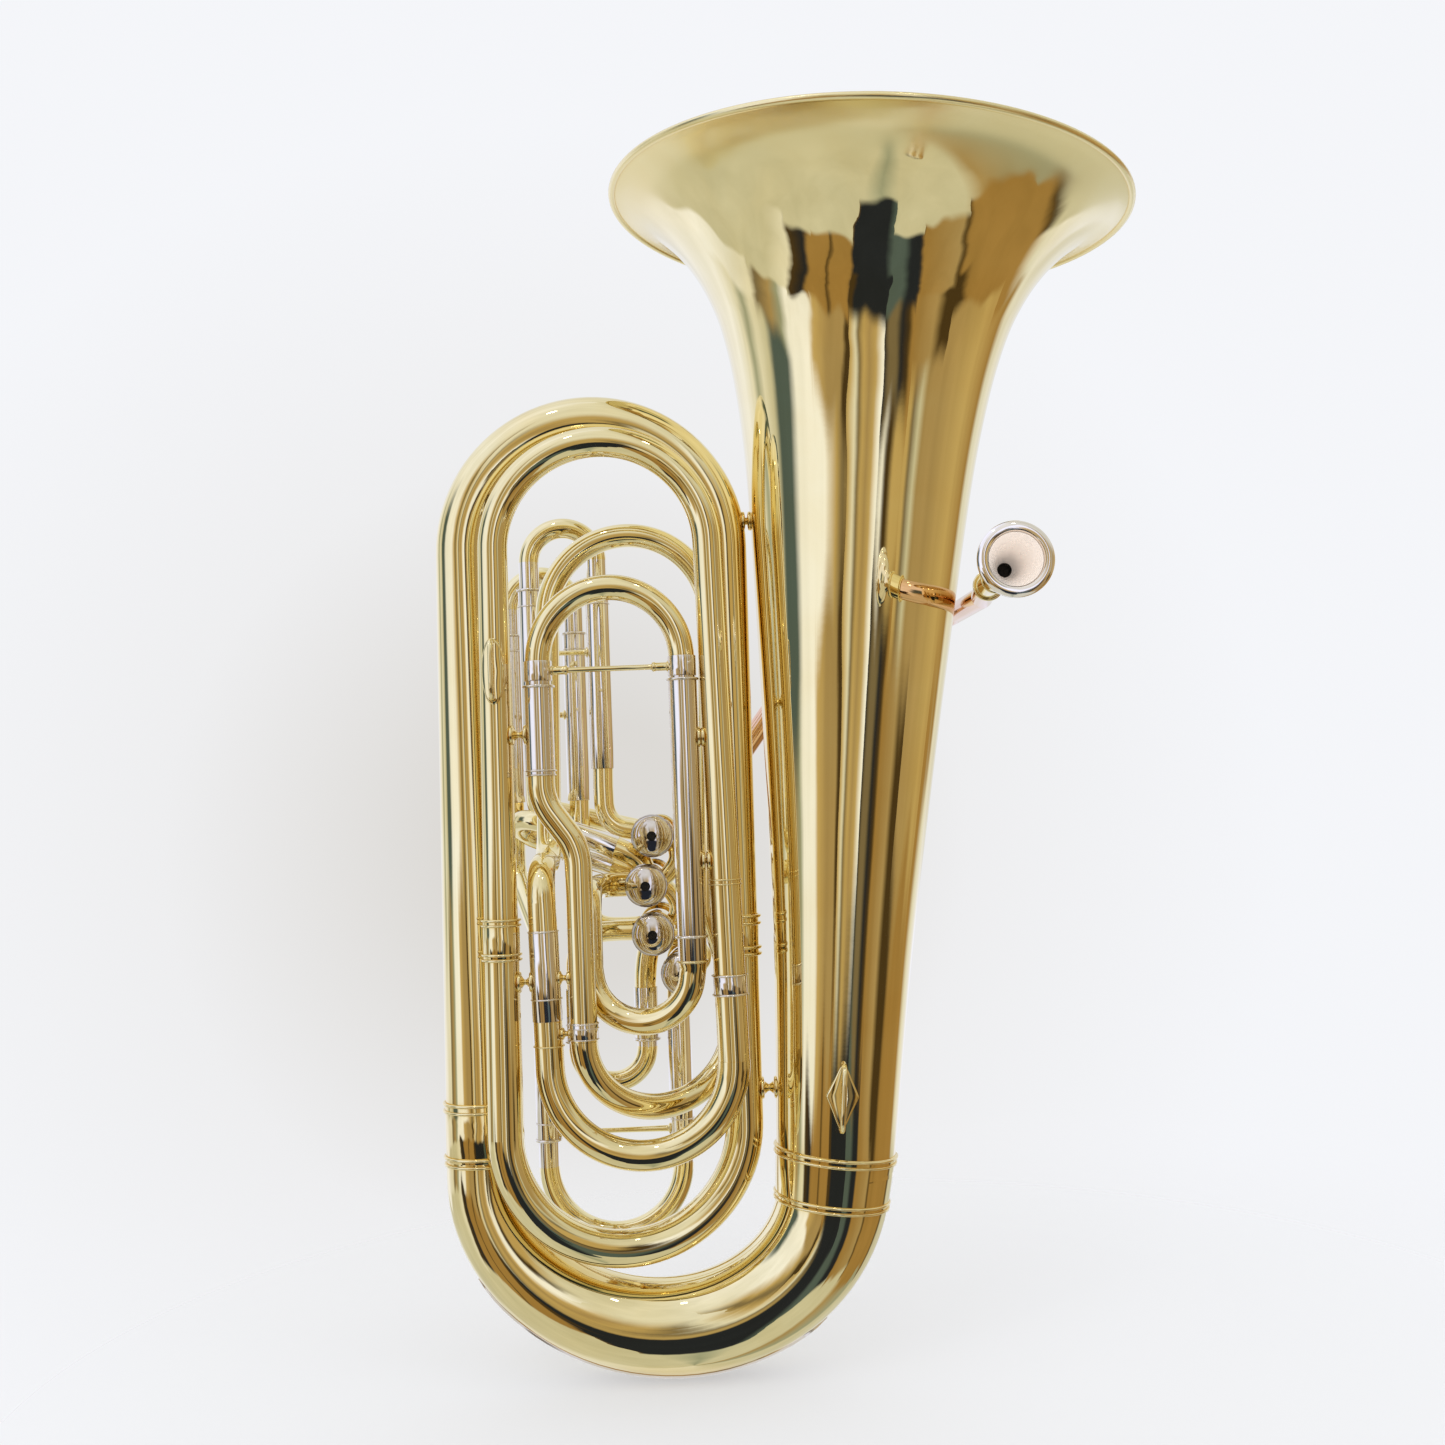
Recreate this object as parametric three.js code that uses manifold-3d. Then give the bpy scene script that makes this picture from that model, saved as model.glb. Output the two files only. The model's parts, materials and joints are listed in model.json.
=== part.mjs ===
// A 3/4-size tuba with four front-action piston valves, in millimetres.
// The bell points up (+Z), the player sits on the -Y side, and the finger buttons point to +Y.
// Pieces are placed from the lowest point of the bottom bow, in the plane of the bell and the outer
// branches. Last of all the whole tuba is moved, so that the origin is under the middle of its box.
import * as THREE from "three";
import { mergeVertices } from "three/addons/utils/BufferGeometryUtils.js";
import Module from "manifold-3d";

const wasm = await Module();
wasm.setup();

// ---- Driving dimensions ----
const GAP = 0.3; // clearance left between two pieces that meet end to end
const WALL = 0.8; // thickness of the drawn brass tubing
const THICK_WALL = 0.9; // of the bell, the bottom bow and the widest branch
const SLIDE_WALL = 0.7; // of the slides and of the tubes that lead to them
const SIDES = 10; // facets round a tube
const BOW_STEPS = 8; // segments along a half-turn bow

const BELL_RIM = { x: 178.4, z: 828.9 }; // centre of the rim
const BELL_TILT = THREE.MathUtils.degToRad(4.4); // the bell leans towards +X, away from the branches
const BELL_LENGTH = 692; // from the rim down to the bottom bow
// Distance below the rim, and outer radius there.
const BELL_FLARE = [
  [0, 188.5],
  [4, 176.5],
  [12, 162],
  [26, 145],
  [44, 129.2],
  [66, 115.2],
  [94, 103],
  [138, 91.4],
  [203, 80.8],
  [318, 68.7],
  [428, 58.3],
  [548, 48.6],
  [692, 41.3],
];

const BACK_Y = 0; // plane of the bell, the bottom bow and the outer branches
const FRONT_Y = -38; // plane of the inner branches
const SLIDE_Y = -40; // plane of the main tuning slide
const HIDDEN_Y = 26; // plane of the fourth branches, behind the inner ones

const BOTTOM_BOW = {
  left: [-123, 157],
  right: [124.2, 133.5],
  depth: -108.5,
  radii: [25.4, 39.8],
  steps: 10,
  sides: 14,
};
const GUARD = { from: 2, to: 8, columns: 4, halfAngle: 26, lifts: [1.6, 0.5] };
const BELL_SIDES = 24;
const BELL_FERRULE = { above: 16, below: 22, r: 43.4, wall: 0.9 };
const TOP_Z = 586; // where the outer top bow starts
const LEFT_OUTER = { topX: -124.6, bottomX: -123, topR: 19.2, bottomR: 25.2 };
const RIGHT_OUTER = { x: 63, topR: 17, bottomR: 13.4, bottomZ: 178 };
const SECOND_BOW_DEPTH = -82;
const INNER_TOP_Z = 581.4; // where the inner top bow starts
const INNER_TOP_RISE = 75;
const LEFT_FRONT = { topX: -98, bottomX: -100.9, topR: 10.5, bottomR: 12.6 };
const RIGHT_FRONT = { topX: 52.3, bottomX: 57, bottomZ: 225, topR: 10.5, bottomR: 11 };
const THIRD_BOW = { depth: -62.2, startR: 11.3, endR: 10 };
const THIRD_LEFT = { x: -69.1, legX: -72, bendZ: 362, bendR: 25, bottomR: 9.9, topR: 8.7 };
const THIRD_TOP = { left: [-68, 541], right: [51.4, 541], rise: 59.7, r: 8.6 };
const FOURTH_LEG = { x: 44.5, z: 322, bendR: 50 };
const FOURTH_BOW = { rightX: 57, rightY: 28, topZ: 275, z: 241.5, depth: -51.5, r: 9.3 };

const MAIN = { leftX: -68.6, rightX: 31.2, topZ: 503, rise: 50.6, r: 8.9 };
const MAIN_SLEEVE = { r: 9.9, leftTop: 487, leftEnd: 425, rightTop: 488.5, rightEnd: 292 };
const MAIN_BRACE = { below: 6, footR: 2.9, foot: 12, rodR: 1.9 };
const OFFSET_TUBE = { x: -45, topZ: 425, bendTop: 407, bendBottom: 374, endZ: 242, r: 9.4 };
const EXIT_BOW = { leftX: -41, leftY: -18, z: 288, depth: -36, r: 9.2, portY: 88 };

const VALVE_CENTRES = [
  [2.3, 378.7],
  [-3.6, 341.8],
  [0.4, 305.6],
  [21.2, 275.7],
];
const CASING = { front: 58, back: 190, r: 14.3, wall: 1 };
const KNUCKLE = { y: 82, shift: 26, r: 6.5, reach: 24, inset: 4 };
const CAP = { r: 15.7, rimLength: 9, domeLength: 7, vent: 4 };
const TOP_CAP = { flange: 8, height: 14, neckR: 9, topR: 8 };
const PISTON = { r: 12.5, front: 96, back: 164, recess: 20, wall: 2, stemR: 3 };
const STROKE = 18; // piston travel when a button is pressed
const BUTTON = { r: 10.5, front: CASING.back + TOP_CAP.height + STROKE + 1, thickness: 8 };
const SPRING = { r: 8.6, wire: 0.8, turns: 5, perTurn: 7 };

const SLIDE_R = 7.9; // valve slide tubing
const SLEEVE_R = 9.3;
const UPPER_SLIDE_Y = 115;
const UPPER_BACK_Y = 146;
const LOWER_SLIDE_Y = 100;
const LEG_INSET = 6; // a pushed-in leg stops this far short of the sleeve's end

// ---- Finishes ----
const finish = (color, roughness) =>
  new THREE.MeshStandardMaterial({ color, roughness, metalness: 1 });
const YELLOW_BRASS = [0xd8b04a, 0.12];
const ROSE_BRASS = [0xb8704a, 0.15];
const NICKEL = [0xc9c3bb, 0.15];
const CHROME = [0xd4d0cc, 0.08];
const SILVER = [0xdcdad6, 0.08];
const STEEL = [0x8f8f8f, 0.35];

const tuba = new THREE.Group();

function addPiece(name, geometry, [color, roughness]) {
  const mesh = new THREE.Mesh(geometry, finish(color, roughness));
  mesh.name = name;
  tuba.add(mesh);
  return mesh;
}

const at = (x, y, z) => new THREE.Vector3(x, y, z);

// ---- Tubing ----

// Radii that run evenly from the first value to the last over a number of stations.
function evenRadii(first, last, count) {
  return Array.from({ length: count }, (_, i) => first + ((last - first) * i) / (count - 1));
}

// A half-turn bow between two ends, bulging by depth along an axis. Its plane follows the ends.
function bowPoints(start, end, depth, steps = BOW_STEPS, axis = UP) {
  const points = [];
  for (let i = 0; i <= steps; i++) {
    const turn = (Math.PI * i) / steps;
    const share = (1 - Math.cos(turn)) / 2;
    const p = start.clone().lerp(end, share);
    p.addScaledVector(axis, depth * Math.sin(turn));
    points.push(p);
  }
  return points;
}

// The corner points of a route, with each inner corner rounded to an arc.
function roundedRoute(corners, radius, steps = 4) {
  const points = [corners[0]];
  for (let i = 1; i < corners.length - 1; i++) {
    const back = corners[i - 1].clone().sub(corners[i]).normalize();
    const on = corners[i + 1].clone().sub(corners[i]).normalize();
    const half = back.angleTo(on) / 2;
    const middle = back.clone().add(on).normalize();
    const centre = corners[i].clone().addScaledVector(middle, radius / Math.sin(half));
    const reach = radius / Math.tan(half);
    const from = corners[i].clone().addScaledVector(back, reach).sub(centre);
    const to = corners[i].clone().addScaledVector(on, reach).sub(centre);
    const sweep = from.angleTo(to);
    for (let k = 0; k <= steps; k++) {
      const a = (sweep * k) / steps;
      const arc = from.clone().multiplyScalar(Math.sin(sweep - a) / Math.sin(sweep));
      arc.addScaledVector(to, Math.sin(a) / Math.sin(sweep));
      points.push(arc.add(centre));
    }
  }
  points.push(corners[corners.length - 1]);
  return points;
}

// The direction of travel at each station of a route.
function tangentsOf(points) {
  return points.map((p, i) => {
    const from = points[Math.max(i - 1, 0)];
    const to = points[Math.min(i + 1, points.length - 1)];
    return to.clone().sub(from).normalize();
  });
}

// A direction square to each tangent that turns as little as it can along the route.
function normalsOf(tangents) {
  const start = Math.abs(tangents[0].y) > 0.9 ? at(1, 0, 0) : at(0, 1, 0);
  const normals = [start.addScaledVector(tangents[0], -start.dot(tangents[0])).normalize()];
  for (let i = 1; i < tangents.length; i++) {
    const turn = new THREE.Quaternion().setFromUnitVectors(tangents[i - 1], tangents[i]);
    normals.push(normals[i - 1].clone().applyQuaternion(turn));
  }
  return normals;
}

// The points of one facetted ring per station, in a single list.
function ringPoints(points, radii, sides, tangents) {
  const normals = normalsOf(tangents);
  const list = [];
  points.forEach((p, i) => {
    const across = tangents[i].clone().cross(normals[i]);
    for (let k = 0; k < sides; k++) {
      const a = (2 * Math.PI * k) / sides;
      const v = p.clone().addScaledVector(normals[i], radii[i] * Math.cos(a));
      list.push(v.addScaledVector(across, radii[i] * Math.sin(a)));
    }
  });
  return list;
}

// Two triangles for each facet between two rings of one list.
function joinRings(index, a, b, sides) {
  for (let k = 0; k < sides; k++) {
    const n = (k + 1) % sides;
    index.push(a + k, a + n, b + n);
    index.push(a + k, b + n, b + k);
  }
}

// Straightens the first and last direction of a route, so that its ends are square.
function squareEnds(points, ends) {
  const tangents = tangentsOf(points);
  if (ends && ends[0]) tangents[0] = ends[0].clone().normalize();
  if (ends && ends[1]) tangents[tangents.length - 1] = ends[1].clone().normalize();
  return tangents;
}

function geometryOf(vertices, index) {
  const geometry = new THREE.BufferGeometry();
  geometry.setFromPoints(vertices);
  geometry.setIndex(index);
  return geometry;
}

// An open-ended tube of the given outer radii along a route.
function tube(points, radii, { wall = WALL, sides = SIDES, ends } = {}) {
  const tangents = squareEnds(points, ends);
  const inner = radii.map((r) => r - wall);
  const outside = ringPoints(points, radii, sides, tangents);
  const inside = ringPoints(points, inner, sides, tangents);
  const index = [];
  const offset = outside.length;
  const last = (points.length - 1) * sides;
  for (let i = 0; i < points.length - 1; i++) {
    joinRings(index, i * sides, (i + 1) * sides, sides);
    joinRings(index, offset + (i + 1) * sides, offset + i * sides, sides);
  }
  joinRings(index, offset, 0, sides);
  joinRings(index, last, offset + last, sides);
  return geometryOf([...outside, ...inside], index);
}

// A solid rod of the given radii along a route.
function rod(points, radii, { sides = SIDES, ends } = {}) {
  const tangents = squareEnds(points, ends);
  const vertices = ringPoints(points, radii, sides, tangents);
  const index = [];
  for (let i = 0; i < points.length - 1; i++) {
    joinRings(index, i * sides, (i + 1) * sides, sides);
  }
  const first = vertices.length;
  const last = (points.length - 1) * sides;
  vertices.push(points[0], points[points.length - 1]);
  for (let k = 0; k < sides; k++) {
    const n = (k + 1) % sides;
    index.push(first, n, k);
    index.push(first + 1, last + k, last + n);
  }
  return geometryOf(vertices, index);
}

const constant = (r, points) => points.map(() => r);
const UP = at(0, 0, 1);
const DOWN = at(0, 0, -1);

// ---- Solid joins and cuts ----
function solidOf(geometry) {
  const plain = geometry.clone();
  for (const key of Object.keys(plain.attributes)) {
    if (key !== "position") plain.deleteAttribute(key);
  }
  const merged = mergeVertices(plain, 1e-4);
  const vertProperties = merged.attributes.position.array;
  const triVerts = new Uint32Array(merged.index.array);
  return new wasm.Manifold(new wasm.Mesh({ numProp: 3, vertProperties, triVerts }));
}

function geometryFrom(solid) {
  const mesh = solid.getMesh();
  const geometry = new THREE.BufferGeometry();
  geometry.setAttribute("position", new THREE.BufferAttribute(mesh.vertProperties, 3));
  geometry.setIndex(new THREE.BufferAttribute(mesh.triVerts, 1));
  return geometry;
}

// ---- Bell and large branches ----
const bellAxis = at(Math.sin(BELL_TILT), 0, Math.cos(BELL_TILT));
const bellPoint = (below) =>
  at(BELL_RIM.x, BACK_Y, BELL_RIM.z).addScaledVector(bellAxis, -below);

function addBell() {
  const points = BELL_FLARE.map(([below]) => bellPoint(below));
  const radii = BELL_FLARE.map(([, r]) => r);
  const shape = tube(points, radii, { sides: BELL_SIDES, wall: THICK_WALL });
  addPiece("bell", shape, YELLOW_BRASS);
}

// The centre line of the bottom bow, the outer radius at each station, and the square ends.
function bottomBowRoute() {
  const { left, right, depth, radii, steps } = BOTTOM_BOW;
  const start = at(left[0], BACK_Y, left[1] - GAP);
  const end = at(right[0], BACK_Y, right[1] - 1);
  const points = bowPoints(start, end, depth, steps, bellAxis);
  return { points, radii: evenRadii(...radii, points.length), ends: [DOWN, bellAxis] };
}

function addBottomBow() {
  const { points, radii, ends } = bottomBowRoute();
  const shape = tube(points, radii, { sides: BOTTOM_BOW.sides, wall: THICK_WALL, ends });
  addPiece("bottom_bow", shape, YELLOW_BRASS);
}

// One row of the guard across the bow: the outer face's points, then the inner face's.
function guardRow(centre, tangent, r) {
  const out = at(tangent.z, 0, -tangent.x);
  const half = THREE.MathUtils.degToRad(GUARD.halfAngle);
  const row = [];
  for (const lift of GUARD.lifts) {
    for (let c = 0; c <= GUARD.columns; c++) {
      const a = half * ((2 * c) / GUARD.columns - 1);
      const v = centre.clone().addScaledVector(out, (r + lift) * Math.cos(a));
      row.push(v.addScaledVector(at(0, 1, 0), (r + lift) * Math.sin(a)));
    }
  }
  return row;
}

// A strip of nickel silver that shields the underside of the bottom bow.
function addBowGuard() {
  const { points, radii } = bottomBowRoute();
  const tangents = tangentsOf(points);
  const { from, to, columns } = GUARD;
  const vertices = [];
  for (let i = from; i <= to; i++) vertices.push(...guardRow(points[i], tangents[i], radii[i]));
  const inner = columns + 1; // the inner face's points follow the outer face's
  const perRow = 2 * inner;
  const index = [];
  const quad = (a, b, c, d) => index.push(a, b, c, a, c, d);
  for (let i = 0; i < to - from; i++) {
    const a = i * perRow;
    const b = a + perRow;
    for (let c = 0; c < columns; c++) {
      quad(a + c, a + c + 1, b + c + 1, b + c);
      quad(a + inner + c + 1, a + inner + c, b + inner + c, b + inner + c + 1);
    }
    quad(a, b, b + inner, a + inner);
    quad(a + columns, a + inner + columns, b + inner + columns, b + columns);
  }
  const last = (to - from) * perRow;
  for (let c = 0; c < columns; c++) {
    quad(c, c + inner, c + inner + 1, c + 1);
    quad(last + c, last + c + 1, last + c + inner + 1, last + c + inner);
  }
  addPiece("bow_guard", geometryOf(vertices, index), NICKEL);
}

// The sleeve that joins the bell to the bottom bow.
function addBellFerrule() {
  const { above, below, r, wall } = BELL_FERRULE;
  const points = [BELL_LENGTH - above, BELL_LENGTH + below].map(bellPoint);
  const geometry = tube(points, constant(r, points), { sides: BELL_SIDES, wall });
  addPiece("bell_ferrule", geometry, YELLOW_BRASS);
}

function addOuterBranches() {
  const { topX, bottomX, topR, bottomR } = LEFT_OUTER;
  const bottomZ = BOTTOM_BOW.left[1];
  const left = [at(topX, BACK_Y, TOP_Z - GAP), at(bottomX, BACK_Y, bottomZ)];
  const heavy = { sides: BOTTOM_BOW.sides, wall: THICK_WALL, ends: [DOWN, DOWN] };
  const leftShape = tube(left, [topR, bottomR], heavy);
  addPiece("left_outer_branch", leftShape, YELLOW_BRASS);
  const right = RIGHT_OUTER;
  const start = at(topX, BACK_Y, TOP_Z);
  const end = at(right.x, BACK_Y, TOP_Z);
  const arch = bowPoints(start, end, (right.x - topX) / 2, BOTTOM_BOW.steps);
  const archRadii = evenRadii(topR, right.topR, arch.length);
  const archShape = tube(arch, archRadii, { ends: [UP, DOWN] });
  addPiece("outer_top_bow", archShape, YELLOW_BRASS);
  const line = [at(right.x, BACK_Y, TOP_Z - GAP), at(right.x, BACK_Y, right.bottomZ)];
  const lineShape = tube(line, [right.topR, right.bottomR]);
  addPiece("right_outer_branch", lineShape, YELLOW_BRASS);
}

function addSecondBow() {
  const start = at(RIGHT_OUTER.x, BACK_Y, RIGHT_OUTER.bottomZ - GAP);
  const end = at(LEFT_FRONT.bottomX, FRONT_Y, RIGHT_OUTER.bottomZ - GAP);
  const points = bowPoints(start, end, SECOND_BOW_DEPTH);
  const radii = evenRadii(RIGHT_OUTER.bottomR, LEFT_FRONT.bottomR, points.length);
  const shape = tube(points, radii, { ends: [DOWN, UP] });
  addPiece("second_bottom_bow", shape, YELLOW_BRASS);
}

function addInnerBranches() {
  const left = LEFT_FRONT;
  const right = RIGHT_FRONT;
  const leftLine = [
    at(left.topX, FRONT_Y, INNER_TOP_Z - GAP),
    at(left.bottomX, FRONT_Y, RIGHT_OUTER.bottomZ),
  ];
  const straight = { ends: [DOWN, DOWN] };
  addPiece("left_front_branch", tube(leftLine, [left.topR, left.bottomR], straight), YELLOW_BRASS);
  const start = at(left.topX, FRONT_Y, INNER_TOP_Z);
  const end = at(right.topX, FRONT_Y, INNER_TOP_Z);
  const arch = bowPoints(start, end, INNER_TOP_RISE);
  const archRadii = evenRadii(left.topR, right.topR, arch.length);
  addPiece("inner_top_bow", tube(arch, archRadii, { ends: [UP, DOWN] }), YELLOW_BRASS);
  const rightLine = [
    at(right.topX, FRONT_Y, INNER_TOP_Z - GAP),
    at(right.bottomX, FRONT_Y, right.bottomZ),
  ];
  const rightShape = tube(rightLine, [right.topR, right.bottomR], straight);
  addPiece("right_front_branch", rightShape, YELLOW_BRASS);
}

function addThirdBranches() {
  const { x, legX, bendZ, bendR, bottomR, topR } = THIRD_LEFT;
  const z = RIGHT_FRONT.bottomZ - GAP;
  const { depth, startR, endR } = THIRD_BOW;
  const bow = bowPoints(at(RIGHT_FRONT.bottomX, FRONT_Y, z), at(x, FRONT_Y, z), depth);
  const bowRadii = evenRadii(startR, endR, bow.length);
  addPiece("third_bottom_bow", tube(bow, bowRadii, { ends: [DOWN, UP] }), YELLOW_BRASS);
  const route = roundedRoute(
    [
      at(x, FRONT_Y, RIGHT_FRONT.bottomZ),
      at(legX, FRONT_Y, bendZ),
      at(legX, HIDDEN_Y, bendZ),
      at(THIRD_TOP.left[0], HIDDEN_Y, THIRD_TOP.left[1] - GAP),
    ],
    bendR,
  );
  const radii = evenRadii(bottomR, topR, route.length);
  addPiece("third_left_branch", tube(route, radii, { ends: [UP, UP] }), YELLOW_BRASS);
}

function addFourthBranches() {
  const { left, right, rise, r } = THIRD_TOP;
  const start = at(left[0], HIDDEN_Y, left[1]);
  const end = at(right[0], HIDDEN_Y, right[1]);
  const arch = bowPoints(start, end, rise);
  addPiece("third_top_bow", tube(arch, constant(r, arch), { ends: [UP, DOWN] }), YELLOW_BRASS);
  const low = FOURTH_BOW;
  const branch = roundedRoute(
    [
      at(right[0], HIDDEN_Y, right[1] - GAP),
      at(FOURTH_LEG.x, HIDDEN_Y, FOURTH_LEG.z),
      at(low.rightX, low.rightY, low.topZ),
      at(low.rightX, low.rightY, low.z),
    ],
    FOURTH_LEG.bendR,
    2,
  );
  branch.pop();
  const bowEnd = at(OFFSET_TUBE.x, SLIDE_Y, low.z);
  const bow = bowPoints(at(low.rightX, low.rightY, low.z), bowEnd, low.depth);
  const route = [...branch, ...bow];
  const radii = evenRadii(r, low.r, route.length);
  addPiece("fourth_branch", tube(route, radii, { ends: [DOWN, UP] }), YELLOW_BRASS);
}

// ---- Main tuning slide ----
function addMainSlide() {
  const { leftX, rightX, topZ, rise, r } = MAIN;
  const arch = bowPoints(at(leftX, SLIDE_Y, topZ), at(rightX, SLIDE_Y, topZ), rise);
  const left = at(leftX, SLIDE_Y, MAIN_SLEEVE.leftEnd + 4);
  const right = at(rightX, SLIDE_Y, MAIN_SLEEVE.leftEnd + 4);
  const route = [left, ...arch, right];
  const shape = tube(route, constant(r, route), { ends: [UP, DOWN], wall: SLIDE_WALL });
  addPiece("main_slide", shape, NICKEL);
}

// A rod with a wider foot at each end, from leg to leg of the main slide.
function addMainSlideBrace() {
  const { below, footR, foot, rodR } = MAIN_BRACE;
  const reach = MAIN.r + GAP;
  const length = MAIN.rightX - MAIN.leftX - 2 * reach;
  const step = 0.1;
  const stations = [0, foot, foot + step, length - foot - step, length - foot, length];
  const points = stations.map((along) =>
    at(MAIN.leftX + reach + along, SLIDE_Y, MAIN.topZ - below),
  );
  const radii = [footR, footR, rodR, rodR, footR, footR];
  addPiece("main_slide_brace", rod(points, radii, { sides: 8 }), YELLOW_BRASS);
}

// The left sleeve of the main slide and the tube that shifts sideways below it.
function addOffsetTube() {
  const { x, topZ, bendTop, bendBottom, endZ, r } = OFFSET_TUBE;
  const sleeve = [MAIN_SLEEVE.leftTop, topZ + 0.1].map((z) => at(MAIN.leftX, SLIDE_Y, z));
  const bend = roundedRoute(
    [
      at(MAIN.leftX, SLIDE_Y, topZ),
      at(MAIN.leftX, SLIDE_Y, bendTop),
      at(x, SLIDE_Y, bendBottom),
      at(x, SLIDE_Y, endZ),
    ],
    38,
  );
  const points = [...sleeve, ...bend];
  const radii = [MAIN_SLEEVE.r, MAIN_SLEEVE.r, ...constant(r, bend)];
  const walls = { wall: SLIDE_WALL, ends: [DOWN, DOWN] };
  addPiece("offset_tube", tube(points, radii, walls), YELLOW_BRASS);
}

// The right sleeve of the main slide and the bow that leads to the valves.
function addExitBow() {
  const low = EXIT_BOW;
  const sleeve = [MAIN_SLEEVE.rightTop, MAIN_SLEEVE.rightEnd].map((z) =>
    at(MAIN.rightX, SLIDE_Y, z),
  );
  const start = at(MAIN.rightX, SLIDE_Y, low.z);
  const bow = bowPoints(start, at(low.leftX, low.leftY, low.z), low.depth);
  const [portX, portZ] = portOf(1, -1);
  const lead = roundedRoute(
    [
      at(low.leftX, low.leftY, low.z + 5),
      at(low.leftX, low.leftY, portZ),
      at(low.leftX, low.portY, portZ),
      at(portX, low.portY, portZ),
    ],
    20,
    3,
  );
  const points = [...sleeve, ...bow, ...lead];
  const radii = points.map((_, i) => (i < sleeve.length ? MAIN_SLEEVE.r : low.r));
  const ends = [DOWN, at(1, 0, 0)];
  const shape = tube(points, radii, { wall: SLIDE_WALL, ends });
  addPiece("valve_exit_bow", shape, YELLOW_BRASS);
}

// ---- Valves ----

// Where a tube meets the left (-1) or right (+1) side of a valve casing, as X and Z.
function portOf(valve, side) {
  const [x, z] = VALVE_CENTRES[valve];
  return [x + side * (CASING.r + GAP), z];
}

const VALVE_SIDES = 16;
const alongY = (x, z, ys) => ys.map((y) => at(x, y, z));

// A round solid along Y with the given radius at each Y.
function turned([x, z], ys, radii, sides = VALVE_SIDES) {
  return solidOf(rod(alongY(x, z, ys), radii, { sides }));
}

// A round hole along Y, to be cut from a solid.
const hole = (centre, from, to, r, sides) => turned(centre, [from, to], [r, r], sides);

// A short curved tube between the right sides of two neighbouring casings.
function knuckleShape(upper, lower, y) {
  const { r, reach, inset } = KNUCKLE;
  const [x1, z1] = VALVE_CENTRES[upper];
  const [x2, z2] = VALVE_CENTRES[lower];
  const side = CASING.r - 1.5;
  const corner = at(Math.max(x1, x2) + reach, y, (z1 + z2) / 2);
  const start = at(x1 + side, y, z1 - inset);
  const end = at(x2 + side, y, z2 + inset);
  const points = new THREE.QuadraticBezierCurve3(start, corner, end).getPoints(4);
  return solidOf(rod(points, constant(r, points), { sides: 8 }));
}

function addValveBlock() {
  const { front, back, r, wall } = CASING;
  let block = knuckleShape(0, 1, KNUCKLE.y);
  block = block.add(knuckleShape(1, 2, KNUCKLE.y + KNUCKLE.shift));
  block = block.add(knuckleShape(2, 3, KNUCKLE.y));
  for (const centre of VALVE_CENTRES) block = block.add(turned(centre, [front, back], [r, r]));
  for (const centre of VALVE_CENTRES) {
    block = block.subtract(hole(centre, front - 1, back + 1, r - wall));
  }
  addPiece("valve_block", geometryFrom(block), YELLOW_BRASS);
}

// A domed cap, screwed on the front of a casing, with a vent in its middle.
function addBottomCap(number, centre) {
  const rim = CASING.front - GAP;
  const nose = rim - CAP.rimLength;
  const steps = [0.96, 0.8, 0.45, 0];
  const dome = steps.map((s) => nose - CAP.domeLength * s);
  const domeRadii = steps.map((s) => CAP.r * Math.sqrt(1 - s * s));
  const shell = turned(centre, [...dome, rim], [...domeRadii, CAP.r]);
  const inside = hole(centre, nose + 1, rim + 1, CASING.r - CASING.wall);
  const vent = hole(centre, nose - CAP.domeLength - 1, rim, CAP.vent, 10);
  const shape = geometryFrom(shell.subtract(inside).subtract(vent));
  addPiece(`bottom_cap_${number}`, shape, CHROME);
}

// The cap on the back of a casing, which guides the stem.
function addTopCap(number, centre) {
  const { flange, height, neckR, topR } = TOP_CAP;
  const base = CASING.back;
  const ys = [base + GAP, base + flange, base + flange + 0.1, base + height];
  const body = turned(centre, ys, [CAP.r, CAP.r, neckR, topR]);
  const bore = hole(centre, base - 1, base + height + 1, PISTON.stemR + 0.6, 10);
  addPiece(`top_cap_${number}`, geometryFrom(body.subtract(bore)), CHROME);
}

// The piston and its stem, with a recess in front that holds the spring.
function addPiston(number, centre) {
  const { r, front, back, recess, wall, stemR } = PISTON;
  const ys = [front, back, back + 0.1, BUTTON.front - GAP];
  const body = turned(centre, ys, [r, r, stemR, stemR]);
  const cut = hole(centre, front - 1, front + recess, r - wall);
  addPiece(`piston_${number}`, geometryFrom(body.subtract(cut)), NICKEL);
}

function addButton(number, centre) {
  const { r, front, thickness } = BUTTON;
  const ys = [front, front + 2, front + thickness - 1.5, front + thickness];
  const shape = geometryFrom(turned(centre, ys, [r - 2.5, r, r, r - 1.8]));
  addPiece(`finger_button_${number}`, shape, CHROME);
}

// A coil spring from the bottom cap to the end of the piston's recess.
function addSpring(number, [x, z]) {
  const { r, wire, turns, perTurn } = SPRING;
  const start = CASING.front - CAP.rimLength + 1.5 + wire;
  const end = PISTON.front + PISTON.recess - wire - 0.5;
  const points = [];
  for (let i = 0; i <= turns * perTurn; i++) {
    const a = (2 * Math.PI * i) / perTurn;
    const y = start + ((end - start) * i) / (turns * perTurn);
    points.push(at(x + r * Math.cos(a), y, z + r * Math.sin(a)));
  }
  addPiece(`valve_spring_${number}`, rod(points, constant(wire, points), { sides: 3 }), STEEL);
}

// ---- Valve slides ----

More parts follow.
